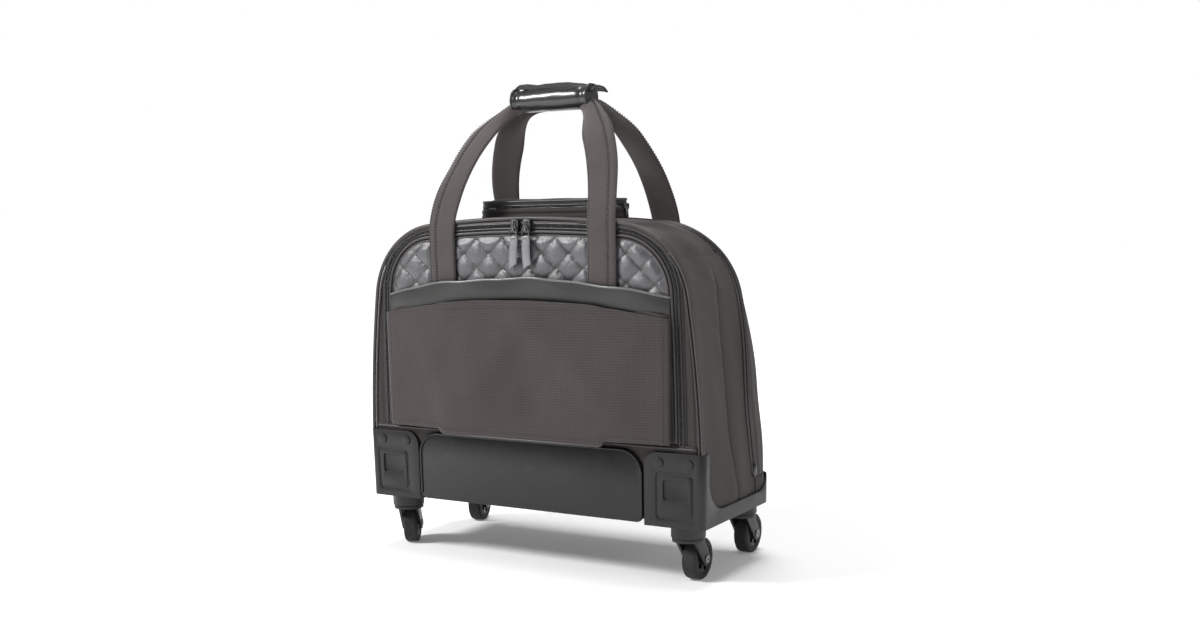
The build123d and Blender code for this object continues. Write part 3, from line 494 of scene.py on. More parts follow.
class Heap:
    """Vertices and faces of one piece, gathered part by part."""

    def __init__(self):
        self.points, self.faces, self.count = [], [], 0

    def put(self, points, faces):
        points = np.asarray(points, float).reshape(-1, 3)
        self.points.append(points)
        self.faces += [[k + self.count for k in f] for f in faces]
        self.count += len(points)
        return self

    def surface(self, grid):
        grid = np.asarray(grid, float)
        return self.put(grid, quads(*grid.shape[:2]))

    def slab(self, grid, thickness, opening=None):
        """A closed sheet, the grid and its copy behind it, cut away where opening says so."""
        grid = np.asarray(grid, float)
        rows, cols = grid.shape[:2]
        normal = unit(np.cross(np.gradient(grid, axis=0), np.gradient(grid, axis=1)))
        n = rows * cols
        ids = np.arange(n).reshape(rows, cols)
        loop = [*ids[0, :-1], *ids[:-1, -1], *ids[-1, :0:-1], *ids[:0:-1, 0]]
        flat, rim = quads(rows, cols), {}
        if opening:
            gone = opening(grid.reshape(-1, 3)[np.array(flat)].mean(1))
            for face in (f for f, cut in zip(flat, gone) if cut):
                for edge in zip(face, face[1:] + face[:1]):
                    rim[frozenset(edge)] = None if frozenset(edge) in rim else edge
            flat = [f for f, cut in zip(flat, gone) if not cut]
        faces = flat + [[k + n for k in f[::-1]] for f in flat]
        faces += [[b, a, a + n, b + n] for a, b in filter(None, rim.values())]
        faces += [[a, b, b + n, a + n] for a, b in zip(loop, loop[1:] + loop[:1])]
        both = np.concatenate([grid.reshape(-1, 3), (grid - normal * thickness).reshape(-1, 3)])
        return self.put(both, faces)

    def sweep(self, path, facing, section, closed=False):
        """A section, (across, out) pairs for each path point, carried along a path."""
        path = np.asarray(path, float)
        n = len(path)
        along = unit(np.roll(path, -1, 0) - np.roll(path, 1, 0) if closed else np.gradient(path, axis=0))
        facing = np.broadcast_to(np.asarray(facing, float), path.shape)
        across = unit(np.cross(along, facing))
        out = unit(np.cross(across, along))
        section = np.broadcast_to(np.asarray(section, float), (n, *np.shape(section)[-2:]))
        m = section.shape[1]
        rings = (path[:, None] + across[:, None] * section[:, :, :1] + out[:, None] * section[:, :, 1:])
        ids = np.arange(n * m).reshape(n, m)
        rows = np.concatenate([ids, ids[:1]]) if closed else ids
        a, b = rows[:-1], rows[1:]
        faces = np.stack([a, b, np.roll(b, -1, 1), np.roll(a, -1, 1)], -1).reshape(-1, 4).tolist()
        if not closed:
            faces += [ids[0].tolist(), ids[-1][::-1].tolist()]
        return self.put(rings, faces)

    def tube(self, path, radius, facing=(0, -1, 0.001), sides=8, closed=False):
        turn = np.linspace(0, 2 * math.pi, sides, endpoint=False)
        ring = np.stack([np.cos(turn), np.sin(turn)], 1)
        radius = np.broadcast_to(np.asarray(radius, float), (len(path),))
        return self.sweep(path, facing, ring[None] * radius[:, None, None], closed)

    def bits(self, places, along, out, size):
        """Small lens-shaped bits, such as stitches and zip teeth."""
        places, n = np.asarray(places, float), len(places)
        along = unit(np.broadcast_to(np.asarray(along, float), places.shape))
        out = np.broadcast_to(np.asarray(out, float), places.shape)
        across = unit(np.cross(along, out))
        out = unit(np.cross(across, along))
        length, width, height = size
        corners = [(0.5, 0, 0), (-0.5, 0, 0), (0.25, 0.5, 0), (-0.25, 0.5, 0), (0.25, -0.5, 0),
                   (-0.25, -0.5, 0), (0.25, 0, 0.5), (-0.25, 0, 0.5), (0.25, 0, -0.5), (-0.25, 0, -0.5)]
        shape = [(2, 3, 7, 6), (6, 7, 5, 4), (4, 5, 9, 8), (8, 9, 3, 2), (0, 2, 6), (0, 6, 4), (0, 4, 8),
                 (0, 8, 2), (1, 7, 3), (1, 5, 7), (1, 9, 5), (1, 3, 9)]
        c = np.array(corners) * (length, width, height)
        all_points = (places[:, None] + along[:, None] * c[None, :, :1] + across[:, None] * c[None, :, 1:2]
                      + out[:, None] * c[None, :, 2:])
        faces = [[k * len(corners) + v for v in f] for k in range(n) for f in shape]
        return self.put(all_points, faces)

    def stitches(self, line, out, pitch=3.2, thread=0.75, fill=0.72):
        """A row of stitches along a line on a face that looks towards out."""
        line = np.asarray(line, float)
        length = np.linalg.norm(np.diff(line, axis=0), axis=1).sum()
        places = resample(line, max(3, int(length / pitch)))
        return self.bits(places, np.gradient(places, axis=0), out, (pitch * fill, thread, thread))

    def make(self, name, material, body=None, stands_for=(), slot=None, level=0, weld=0.0):
        """Turn the heap into a piece of the case."""
        mesh = bpy.data.meshes.new(name)
        mesh.from_pydata((np.concatenate(self.points) * MM).tolist(), [], self.faces)
        shape = bmesh.new()
        shape.from_mesh(mesh)
        if weld:
            bmesh.ops.remove_doubles(shape, verts=shape.verts, dist=weld * MM)
        loose = [vert for vert in shape.verts if not vert.link_faces]
        bmesh.ops.delete(shape, geom=loose, context="VERTS")
        bmesh.ops.recalc_face_normals(shape, faces=shape.faces)
        for face in shape.faces:
            face.smooth = True
        shape.to_mesh(mesh)
        shape.free()
        piece = bpy.data.objects.new(name, mesh)
        bpy.context.scene.collection.objects.link(piece)
        mesh.materials.append(finish(material))
        if level:
            swell = piece.modifiers.new("Smooth", "SUBSURF")
            swell.levels = swell.render_levels = level
        if body:
            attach(piece, body)
        if stands_for:
            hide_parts(*stands_for)
        return piece


def upright(line, y):
    """A 2-D outline stood up at depth y, which may vary along it."""
    y = np.broadcast_to(np.asarray(y, float), (len(line),))
    return np.stack([line[:, 0], y, line[:, 1]], 1)


def refined(node, material, bevel=0.6):
    """The same shape as a hard CAD node, with softened edges and clean shading."""
    source = frame["nodes"][node]
    shape = bmesh.new()
    shape.from_mesh(source.data)
    bmesh.ops.remove_doubles(shape, verts=shape.verts, dist=2e-6)
    bmesh.ops.dissolve_limit(shape, angle_limit=math.radians(0.6), verts=shape.verts, edges=shape.edges)
    bmesh.ops.recalc_face_normals(shape, faces=shape.faces)
    sharp = [e for e in shape.edges if len(e.link_faces) == 2 and e.calc_face_angle(0) > math.radians(38)]
    if bevel and sharp:
        bmesh.ops.bevel(shape, geom=sharp, offset=bevel * MM, segments=2, profile=0.5,
                        affect="EDGES", clamp_overlap=True)
    for face in shape.faces:
        face.smooth = True
    for edge in shape.edges:
        edge.smooth = len(edge.link_faces) == 2 and edge.calc_face_angle(0) < math.radians(32)
    mesh = bpy.data.meshes.new(node + "_refined")
    shape.to_mesh(mesh)
    shape.free()
    mesh.materials.append(finish(material))
    piece = bpy.data.objects.new(node + "_refined", mesh)
    bpy.context.scene.collection.objects.link(piece)
    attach(piece, source["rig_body"])
    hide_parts(node)
    return piece


# ---------------------------------------------------------------- settings
class LaptopCaseLook(bpy.types.PropertyGroup):
    """Colours and sizes that a user of the case may want to change."""

    fabric: bpy.props.FloatVectorProperty(
        name="Fabric", description="Colour of the twill body fabric", subtype="COLOR",
        size=3, min=0, max=1, default=(0.046, 0.0395, 0.0385))
    quilt: bpy.props.FloatVectorProperty(
        name="Quilt", description="Colour of the quilted satin yoke", subtype="COLOR",
        size=3, min=0, max=1, default=(0.066, 0.063, 0.07))
    trim: bpy.props.FloatVectorProperty(
        name="Trim", description="Colour of the leather band over the slip pocket", subtype="COLOR",
        size=3, min=0, max=1, default=(0.014, 0.0135, 0.0125))
    plastic: bpy.props.FloatVectorProperty(
        name="Plastic", description="Colour of the moulded base", subtype="COLOR",
        size=3, min=0, max=1, default=(0.0075, 0.0075, 0.008))
    floor: bpy.props.FloatVectorProperty(
        name="Floor", description="Colour of the studio floor", subtype="COLOR",
        size=3, min=0, max=1, default=(1.0, 1.0, 1.0))
    quilt_width: bpy.props.FloatProperty(
        name="Quilt width", description="Width of one quilted diamond", unit="LENGTH",
        min=0.01, max=0.1, default=0.0333)
    quilt_height: bpy.props.FloatProperty(
        name="Quilt height", description="Height of one quilted diamond", unit="LENGTH",
        min=0.01, max=0.1, default=0.031)
    quilt_puff: bpy.props.FloatProperty(
        name="Quilt puff", description="How far a diamond stands out", unit="LENGTH",
        min=0, max=0.008, default=0.0036)
    stitch_pitch: bpy.props.FloatProperty(
        name="Stitch length", description="Length from stitch to stitch", unit="LENGTH",
        min=0.001, max=0.01, default=0.0031)
    sleeve_fold: bpy.props.FloatProperty(
        name="Sleeve folds", description="Height of the soft folds in the trolley sleeve", unit="LENGTH",
        min=0, max=0.006, default=0.0036)


class CaseStep:
    """What every step of making the case shares."""

    bl_options = {"REGISTER", "UNDO"}

    def look(self, context):
        return context.scene.laptop_case_look


# ---------------------------------------------------------------- studio
class CaseStudio(CaseStep, bpy.types.Operator):
    """Set the camera, the pale floor and the soft lights"""

    bl_idname = "laptop_case.studio"
    bl_label = "Set up the studio"

    def execute(self, context):
        self.camera(context)
        bpy.ops.mesh.primitive_circle_add(vertices=96, radius=9, fill_type="NGON")
        floor = context.object
        floor.name = "studio_floor"
        floor.data.materials.append(finish("floor"))
        world = bpy.data.worlds.new("studio")
        context.scene.world = world
        Sky(world, 0.3)
        self.lamp("key", (-1.6, -1.7, 1.9), 0.8, 78)
        self.lamp("top", (0.1, 0.3, 2.4), 1.2, 34)
        self.lamp("edge", (2.4, -0.2, 1.1), 0.5, 6)
        context.scene.view_settings.view_transform = "Standard"
        return {"FINISHED"}

    def camera(self, context):
        data = bpy.data.cameras.new("camera")
        camera = bpy.data.objects.new("camera", data)
        context.scene.collection.objects.link(camera)
        turn, rise, roll = math.radians(31.4), math.radians(12.9), math.radians(-1.1)
        back = Vector((math.sin(turn) * math.cos(rise), -math.cos(turn) * math.cos(rise), math.sin(rise)))
        right = Vector((math.cos(turn), math.sin(turn), 0))
        up = back.cross(right)
        side = right * math.cos(roll) + up * math.sin(roll)
        top = up * math.cos(roll) - right * math.sin(roll)
        spot = back * 1.555 + Vector((0, REAR * MM + 0.110, 0.032))
        camera.matrix_world = Matrix((side, top, back)).transposed().to_4x4()
        camera.location = spot
        data.lens, data.sensor_width = 39.81, 36.0
        data.shift_x, data.shift_y = 0.0158, 0.170
        data.clip_start, data.clip_end = 0.05, 60
        context.scene.camera = camera

    def lamp(self, name, place, size, power):
        data = bpy.data.lights.new(name, "AREA")
        data.shape, data.size, data.energy = "DISK", size, power
        lamp = bpy.data.objects.new(name, data)
        bpy.context.scene.collection.objects.link(lamp)
        lamp.location = place
        lamp.rotation_euler = (Vector((0, 0, 0.25)) - Vector(place)).to_track_quat("-Z", "Y").to_euler()


# ---------------------------------------------------------------- body
class CaseShell(CaseStep, bpy.types.Operator):
    """Sew the side band, the zip surround, the low front wall and the edge piping"""

    bl_idname = "laptop_case.shell"
    bl_label = "Sew the shell"

    def execute(self, context):
        pitch = self.look(context).stitch_pitch / MM
        self.band(pitch)
        self.surround(pitch)
        self.piping()
        self.low_walls(pitch)
        for node in ("base_board", "handle_bracket"):
            refined(node, "board", 0.5)
        return {"FINISHED"}

    def band(self, pitch):
        """The wide fabric band round the sides and top, with its mid and shoulder seams."""
        line = BODY.line(0, 68.6, 360)
        out = outward(line)
        depth = np.linspace(0, 1, 76)
        x, z = line[:, 0], line[:, 1]
        end = seam_depth(z) - 0.6
        d = 1.2 + depth[None, :] * (end[:, None] - 1.2)
        grid = np.stack([np.broadcast_to(x[:, None], d.shape), REAR + d,
                         np.broadcast_to(z[:, None], d.shape)], -1)
        span = np.sin(np.pi * depth)[None, :]
        on_side = ease(np.abs(x), 150, 195)[:, None]
        sag = -3.4 * span * on_side * (ease(z, 110, 190) * (1 - ease(z, 240, 330)))[:, None]
        lift = 1.2 * span * (1 - on_side)
        folds = 1.1 * span * ripple(grid * (1, 1.6, 0.7), 120, 3) + 0.35 * ripple(grid, 38, 5) * span
        mid_seam = np.abs(d - (68 + 17 * (1 - ease(z, 75, 150)))[:, None]) * on_side + 30 * (1 - on_side)
        shoulder = np.abs(np.abs(x) - 177.0)[:, None] + 0 * d
        shoulder = np.where(z[:, None] > 300, shoulder, 40.0)
        groove = -0.95 * np.exp(-((mid_seam / 1.5) ** 2)) - 0.9 * np.exp(-((shoulder / 1.6) ** 2))
        puff = 0.55 * (1 - np.exp(-((mid_seam / 7.0) ** 2)))
        edge = -1.6 * np.exp(-d / 2.2) - 1.0 * np.exp(-(end[:, None] - d) / 2.5)
        move = sag + lift + folds + groove + puff + edge - 0.6
        grid[..., 0] += out[:, :1] * move
        grid[..., 2] += out[:, 1:] * move

        def over_well(middle):
            """Inside the slot under the lid, which has half-round ends."""
            half_y = (HIGH["handle_lid"][1] - LOW["handle_lid"][1]) / 2
            reach = np.maximum(np.abs(middle[:, 0]) - (HIGH["handle_lid"][0] - half_y), 0)
            gap = np.hypot(reach, middle[:, 1] - WELL_MIDDLE)
            return (gap < half_y - WELL_MARGIN) & (middle[:, 2] > 300)

        Heap().slab(grid, -2.4, over_well).make(
            "side_band", "body_fabric", "root", ["body_gusset"], "body_fabric")
        sewing = Heap()
        outs = np.stack([out[:, 0], 0 * x, out[:, 1]], 1)
        for start, stop in ((0, 52), (308, 360)):
            rows = np.arange(start, stop)
            cols = np.abs(d[rows] - (71.5 + 17 * (1 - ease(z[rows], 75, 150)))[:, None]).argmin(1)
            run = grid[rows, cols]
            sewing.stitches(run + outs[rows] * 0.15, outs[rows].mean(0), pitch, 0.6)
        for side in (0, -1):
            row = np.where(np.abs(np.abs(x) - 179.2) < 1.4)[0]
            row = [k for k in row if z[k] > 300][side]
            sewing.stitches(grid[row, 3:-3] + outs[row] * 0.2, outs[row], pitch, 0.6)
        for col in (3, -4):
            step = grid[:, col] + outs * 0.12
            places = resample(step, 330)
            sewing.bits(places, np.gradient(places, axis=0), resample(step, 330, outs), (2.3, 0.6, 0.6))
        sewing.make("side_band_stitching", "thread", "root")

    def surround(self, pitch):
        """Folded strip between the outer piping and the rear zip."""
        count = 340
        outer, inner = BODY.line(-1.2, 72, count), DOOR.line(10.5, 143, count)
        t = np.linspace(0, 1, 22)[None, :, None]
        flat = outer[:, None] * (1 - t) + inner[:, None] * t
        t = t[..., 0]
        d = 1.6 - 1.0 * t - 1.5 * np.sin(np.pi * np.clip(t * 1.2, 0, 1)) ** 0.8
        grid = np.stack([flat[..., 0], REAR + d + 0 * flat[..., 0], flat[..., 1]], -1)
        grid[..., 1] += 0.9 * ripple(grid * (1, 1, 0.5), 46, 11) * np.sin(np.pi * t) ** 0.7
        grid[..., 1] += 0.9 * np.exp(-(((t - 0.34) / 0.06) ** 2))
        Heap().slab(grid, 2.0).make("rear_zip_strip", "zip_tape", "root",
                                     ["rear_zip_gusset"], "zip_tape")
        sewing = Heap()
        run = grid[:, 7] + (0, -0.35, 0)
        sewing.stitches(run, (0, -1, 0), pitch, 0.6)
        sewing.make("rear_zip_strip_stitching", "thread", "root")

    def piping(self):
        cord = Heap()
        outer = upright(BODY.line(0.9, 138, 300), REAR - 0.2)
        cord.tube(outer, 2.0)
        cord.tube(upright(BODY.line(-3.3, 138, 300), REAR - 0.1), 1.25)
        cord.make("rear_edge_piping", "piping", "root", ["rear_piping"], "piping")

    def low_walls(self, pitch):
        """Fabric below the rear door, and the low wall round the front of the base."""
        cols = np.linspace(-1, 1, 90)
        z = np.linspace(HIGH["base_board"][2] - 2, DOOR_FOOT - 0.8, 24)
        half = np.interp(z, [60, 160], [207.0, 205.6])
        grid = np.stack([half[:, None] * cols[None], REAR + 0.6 + 0 * half[:, None] * cols[None],
                         z[:, None] + 0 * cols[None]], -1)
        grid[..., 1] += 0.5 * ripple(grid, 60, 8) - 1.5 * ease(z, 136, 148)[:, None]
        heap = Heap().slab(grid, -2.4)
        heap.make("rear_low_wall", "body_fabric", "root", ["rear_lower_panel"], "body_fabric")
        edge = grid[-2]
        Heap().tube(edge + (0, -0.6, 0.4), 1.5).make("rear_door_sill_piping", "piping", "root")
        Heap().stitches(grid[-5] + (0, -0.2, 0), (0, -1, 0), pitch, 0.6).make(
            "rear_low_wall_stitching", "thread", "root")

        turn = np.linspace(0, math.pi / 2, 14)
        front, half_x, r = 175.0, 212.0, 27.0
        corner = np.stack([half_x - r + r * np.cos(turn), front - r + r * np.sin(turn)], 1)
        plan = np.concatenate([[(half_x, 131.0)], corner, [(0, front)]])
        plan = resample(np.concatenate([plan, plan[::-1] * (-1, 1)]), 200)
        z = np.linspace(68.8, FRONT_FOOT - 0.8, 12)
        rows = np.stack([np.broadcast_to(plan[:, :1], (200, 12)), REAR + plan[:, 1:] + 0 * z[None],
                         np.broadcast_to(z[None], (200, 12))], -1)
        out = np.stack([outward(plan)[:, 0], outward(plan)[:, 1]], 1)
        puff = 1.0 * np.sin(np.pi * np.linspace(0, 1, 12))[None] - 1.0
        rows[..., 0] += out[:, :1] * puff
        rows[..., 1] += out[:, 1:] * puff
        Heap().slab(rows, 2.4).make("front_low_wall", "body_fabric", "root",
                                    ["front_lower_panel"], "body_fabric")


# ---------------------------------------------------------------- zips
def coil_zip(heap, path, out, side, pitch=1.55):
    """Two rows of coil along a path; side points across the zip."""
    length = np.linalg.norm(np.diff(path, axis=0), axis=1).sum()
    count = int(length / pitch)
    places, sides = resample(path, count), unit(resample(path, count, side))
    outs = unit(resample(path, count, out))
    for sign in (-1, 1):
        shift = 0.5 * pitch * (sign > 0)
        along = unit(np.gradient(places, axis=0))
        heap.bits(places + sides * sign * 1.05 + along * shift, sides, outs, (2.6, 1.2, 1.2))
        heap.tube(places[::4] + sides[::4] * sign * 2.35 + outs[::4] * 0.25, 0.7, outs[::4], 6)


class CaseZips(CaseStep, bpy.types.Operator):
    """Run the coil zips, and hang their sliders and pulls"""

    bl_idname = "laptop_case.zips"
    bl_label = "Fit the zips"

    def execute(self, context):
        self.rear_zip()
        self.front_zip()
        for side in ("left", "right"):
            refined(f"rear_slider_{side}", "slider_metal", 0.5)
            refined(f"front_slider_{side}", "slider_metal", 0.4)
            self.pull(side)
        refined("lid_slider", "slider_metal", 0.5)
        return {"FINISHED"}

    def rear_zip(self):
        line = DOOR.line(5.2, 146, 340)
        out = outward(line)
        path = upright(line, REAR - 0.6)
        side = upright(out, 0.0)
        tape = Heap()
        across = np.linspace(-4.6, 5.6, 11)
        grid = path[:, None] + side[:, None] * across[None, :, None]
        grid[..., 1] += 0.5 + 0.35 * np.cos(across * 1.4)[None]
        tape.slab(grid, -0.9)
        tape.make("rear_zip_tape", "zip_tape", "root", (), "zip_tape")
        coil = Heap()
        coil_zip(coil, path, (0, -1, 0), side)
        coil.make("rear_zip_coil", "zip_coil", "root", ["rear_zip_chain"], "zip_coil")

    def front_zip(self):
        """Zip round the front edge of the side band, between two thin cords."""
        line = BODY.line(0.2, FRONT_FOOT + 4, 320)
        out = outward(line)
        d = seam_depth(line[:, 1])
        path = upright(line, REAR + d - 3.4)
        outs = upright(out, 0.0)
        coil = Heap()
        coil_zip(coil, path - outs * 1.6, outs, (0, 1, 0))
        coil.make("front_zip_coil", "zip_coil", "root", ["front_zip_chain"], "zip_coil")
        cord = Heap()
        for shift in (-3.9, 3.2):
            cord.tube(path + (0, shift, 0) - outs * 0.1, 1.15, outs)
        cord.make("front_zip_cord", "piping", "root")
        # fabric end stop at the foot of each run
        stop = Heap()
        for k in (0, -1):
            foot = path[k]
            run = foot + np.linspace(-4, 9, 8)[:, None] * np.array([0, 0, 1.0])
            width = 5.4 * np.sin(np.linspace(0.35, math.pi - 0.35, 8))
            turn = np.linspace(0, 2 * math.pi, 12, endpoint=False)
            ring = np.stack([np.cos(turn)[None] * width[:, None],
                             np.sin(turn)[None] * 1.5 + 0 * width[:, None]], -1)
            stop.sweep(run + outs[k] * 1.0, outs[k], ring)
        stop.make("front_zip_end_stops", "trim_leather", "root")

    def pull(self, side):
        """A wire ring with a folded metallic leather tab, cut on the slant."""
        node = f"rear_pull_{side}"
        low, high = LOW[node], HIGH[node]
        x, y = (low[0] + high[0]) / 2, (low[1] + high[1]) / 2
        turn = np.linspace(0, 2 * math.pi, 28, endpoint=False)
        ring_z = high[2] - 7.0
        ring = np.stack([x + 4.2 * np.cos(turn), y - 0.9 + 0 * turn, ring_z + 6.2 * np.sin(turn)], 1)
        Heap().tube(ring, 0.9, (0, -1, 0), 8, True).make(f"{node}_ring", "slider_metal", f"rear_pull_{side}")
        t = np.linspace(0, 1, 26)[:, None]
        w = np.linspace(-1, 1, 11)[None]
        lean = 2.4 if side == "left" else -0.6
        top, foot = ring_z - 5.6, low[2]
        width = 4.6 + 0.5 * np.clip(t * 6, 0, 1)
        z = top + (foot - top) * t + w * 2.6 * ease(t, 0.75, 1)
        bow = y - 0.9 - 1.4 * np.sin(np.pi * t)
        grid = np.stack([x + w * width - lean * t**1.3, bow + 0 * w, z + 0 * w], -1)
        grid[..., 1] += 0.45 * (w**2) - 0.25 * np.abs(np.abs(w) - 0.72)
        tab = Heap().slab(grid, 1.3)
        piece = tab.make(f"{node}_tab", "pull_tab", f"rear_pull_{side}", [node], "pull_tab", 1)
        bar = np.stack([x + np.linspace(-4.4, 4.4, 8), np.full(8, y), np.full(8, top + 0.5)], 1)
        Heap().tube(bar, 1.9, (0, -1, 0), 10).make(f"{node}_fold", "pull_tab", f"rear_pull_{side}")
        sewing = Heap()
        for edge in (1, -2):
            sewing.stitches(grid[2:-2, edge] + (0, -0.15, 0), (0, -1, 0), 2.2, 0.4)
        sewing.make(f"{node}_stitching", "thread", f"rear_pull_{side}")
        return piece


# ---------------------------------------------------------------- rear door
def arch_rows(line, rows):
    """Rows of a panel under an arch: each a height and a half width, from the foot to the crown."""
    half = line[: len(line) // 2 + 1]
    return resample(half, rows)


def edge_gap(points, line):
    """Distance of each (x, z) from an outline."""
    flat = points.reshape(-1, 2)
    best = np.full(len(flat), 1e9)
    for start, step in zip(line, np.diff(line, axis=0)):
        along = np.clip((flat - start) @ step / max(step @ step, 1e-12), 0, 1)
        best = np.minimum(best, np.linalg.norm(flat - start - along[:, None] * step, axis=1))
    return best.reshape(points.shape[:-1])


def panel_points(line, rows, cols, low_z=None, crowded=False):
    """(x, z) grid of a panel under an arch, cut off below low_z, with columns crowded to its edges."""
    side = arch_rows(line, rows)
    if low_z is not None:
        side = side[side[:, 1] > low_z]
        side = np.concatenate([[(np.interp(low_z, side[:2, 1], side[:2, 0]), low_z)], side])
    c = np.linspace(1, -1, cols)[None]
    if crowded:
        c = np.sin(c * math.pi / 2)
    return np.stack([side[:, :1] * c, side[:, 1:] + 0 * c], -1)


class CaseRearDoor(CaseStep, bpy.types.Operator):
    """Make the rear door: padded panel, quilted yoke, slip pocket and leather trim"""

    bl_idname = "laptop_case.rear_door"
    bl_label = "Make the rear door"

    def execute(self, context):
        look = self.look(context)
        pitch = look.stitch_pitch / MM
        self.panel()
        self.quilt(look, pitch)
        self.pocket()
        self.trim(pitch)
        return {"FINISHED"}

    def panel(self):
        line = DOOR.line(-0.4, DOOR_FOOT, 300)
        flat = panel_points(line, 110, 120)
        gap = edge_gap(flat, np.concatenate([line, [(x, DOOR_FOOT) for x in np.linspace(-183, 183, 120)]]))
        y = REAR + 1.2 - 1.2 * ease(gap, 0, 5)
        grid = np.stack([flat[..., 0], y, flat[..., 1]], -1)
        piece = Heap().slab(grid, 3.4).make("rear_door_panel", "body_fabric", "rear_door",
                                            ["laptop_door"], "lining")
        cord = Heap()
        cord.tube(upright(DOOR.line(-0.6, DOOR_FOOT + 1, 300), REAR - 0.6), 1.7)
        cord.tube(upright(DOOR.line(-4.2, DOOR_FOOT + 1, 300), REAR - 0.3), 0.9)
        cord.make("rear_door_piping", "piping", "rear_door")
        return piece

    def quilt(self, look, pitch):
        line = DOOR.line(-4.6, DOOR_FOOT, 300)
        flat = panel_points(line, 190, 300, 279.0)
        x, z = flat[..., 0], flat[..., 1]
        wide, tall, puff = look.quilt_width / MM, look.quilt_height / MM, look.quilt_puff / MM
        across, up = (x - QUILT_X) / wide, (z - QUILT_Z) / tall
        first, second = across + up, across - up
        near = np.abs(np.sin(np.pi * first)) * np.abs(np.sin(np.pi * second))
        gap = edge_gap(flat, line)
        height = puff * near**0.36 * ease(gap, 0, 9)
        grid = np.stack([x, REAR - 0.5 - height, z], -1)
        # puckers run off the stitch lines
        pull = np.exp(-((np.abs(np.sin(np.pi * first)) / 0.35) ** 2)) + np.exp(
            -((np.abs(np.sin(np.pi * second)) / 0.35) ** 2))
        grid[..., 1] += 0.34 * pull * ripple(grid, 9, 21) * ease(gap, 1, 6)
        clear = ease(np.abs(np.abs(x) - STRAP_X), 15.5, 22)
        grid[..., 1] = REAR - 0.5 + (grid[..., 1] - REAR + 0.5) * (0.45 + 0.55 * clear)
        piece = Heap().slab(grid, 0.9).make("quilted_yoke", "quilt", "rear_door",
                                             ["quilted_panel"], "quilt")
        sewing = Heap()
        for sign in (1, -1):
            for k in range(-9, 10):
                run_z = np.linspace(281, 366, 60)
                run_x = QUILT_X + wide * (k - sign * (run_z - QUILT_Z) / tall)
                run = np.stack([run_x, run_z], 1)
                inside = (edge_gap(run, line) > 2.0) & (np.abs(run_x) < 178)
                top = np.interp(np.abs(run_x), np.abs(line[149::-1, 0])[::1], line[149::-1, 1])
                inside &= run_z < top - 1.5
                if inside.sum() > 4:
                    kept = run[inside]
                    sewing.stitches(np.stack([kept[:, 0], 0 * kept[:, 0] + REAR - 0.75, kept[:, 1]], 1),
                                    (0, -1, 0), pitch, 1.0)
        sewing.make("quilt_stitching", "thread", "rear_door")

    def pocket(self):
        """Front wall of the slip pocket, mostly behind the sleeve."""
        c, t = np.linspace(-1, 1, 90)[None], np.linspace(0, 1, 40)[:, None]
        half = 177.6
        top = 297.0 - 17.0 * c**2
        z = DOOR_FOOT + 0.5 + (top - DOOR_FOOT - 0.5) * t
        x = half * c + 0 * t
        stand = 7.6 * np.clip((1 - np.abs(c)) / 0.05, 0, 1) ** 0.5 * np.clip(t / 0.06, 0, 1) ** 0.5
        grid = np.stack([x, REAR - 0.9 - stand + 0 * x, z], -1)
        grid[..., 1] += 0.5 * ripple(grid, 90, 31)
        piece = Heap().slab(grid, -1.4).make("slip_pocket_wall", "body_fabric", "rear_door",
                                            ["slip_pocket"], "body_fabric")

    def trim(self, pitch):
        """Leather band along the pocket's mouth, its upper edge turned over into a roll of lighter leather
        that is a painted highlight.
        """
        c, t = np.linspace(-1, 1, 150)[None], np.linspace(0, 1, 26)[:, None]
        x = 177.0 * c + 0 * t
        low = 293.5 - 17.6 * c**2
        high = 315.4 - 17.8 * c**2
        high = high + 0.9 * np.sin(c * 8.5 + 0.6) + 0.5 * np.sin(c * 19)
        z = low + (high - low) * t
        stand = 2.2 + 7.4 * (1 - np.abs(c) ** 9)
        out = stand + 0.6 * np.sin(np.pi * t) + 0.9 * t**2 * (1 - np.abs(c) ** 6) * (1 + np.sin(c * 11))
        grid = np.stack([x, REAR - out, z + 0 * x], -1)
        Heap().slab(grid, -1.5).make("pocket_trim_band", "trim_leather", "rear_door",
                                    ["pocket_trim"], "trim_leather", 1)
        # The top roll takes the lighter leather, a painted highlight along the band's edge.
        roll = grid[-1] + (0, 0.6, -0.3)
        Heap().tube(roll, 1.35, (0, -1, 0.01), 10).make(
            "pocket_trim_edge", "trim_edge_highlight", "rear_door", (), "trim_leather")
        sewing = Heap().stitches(grid[-5] + (0, -0.35, 0), (0, -1, 0), pitch, 0.55)
        sewing.make("pocket_trim_stitching", "thread", "rear_door")


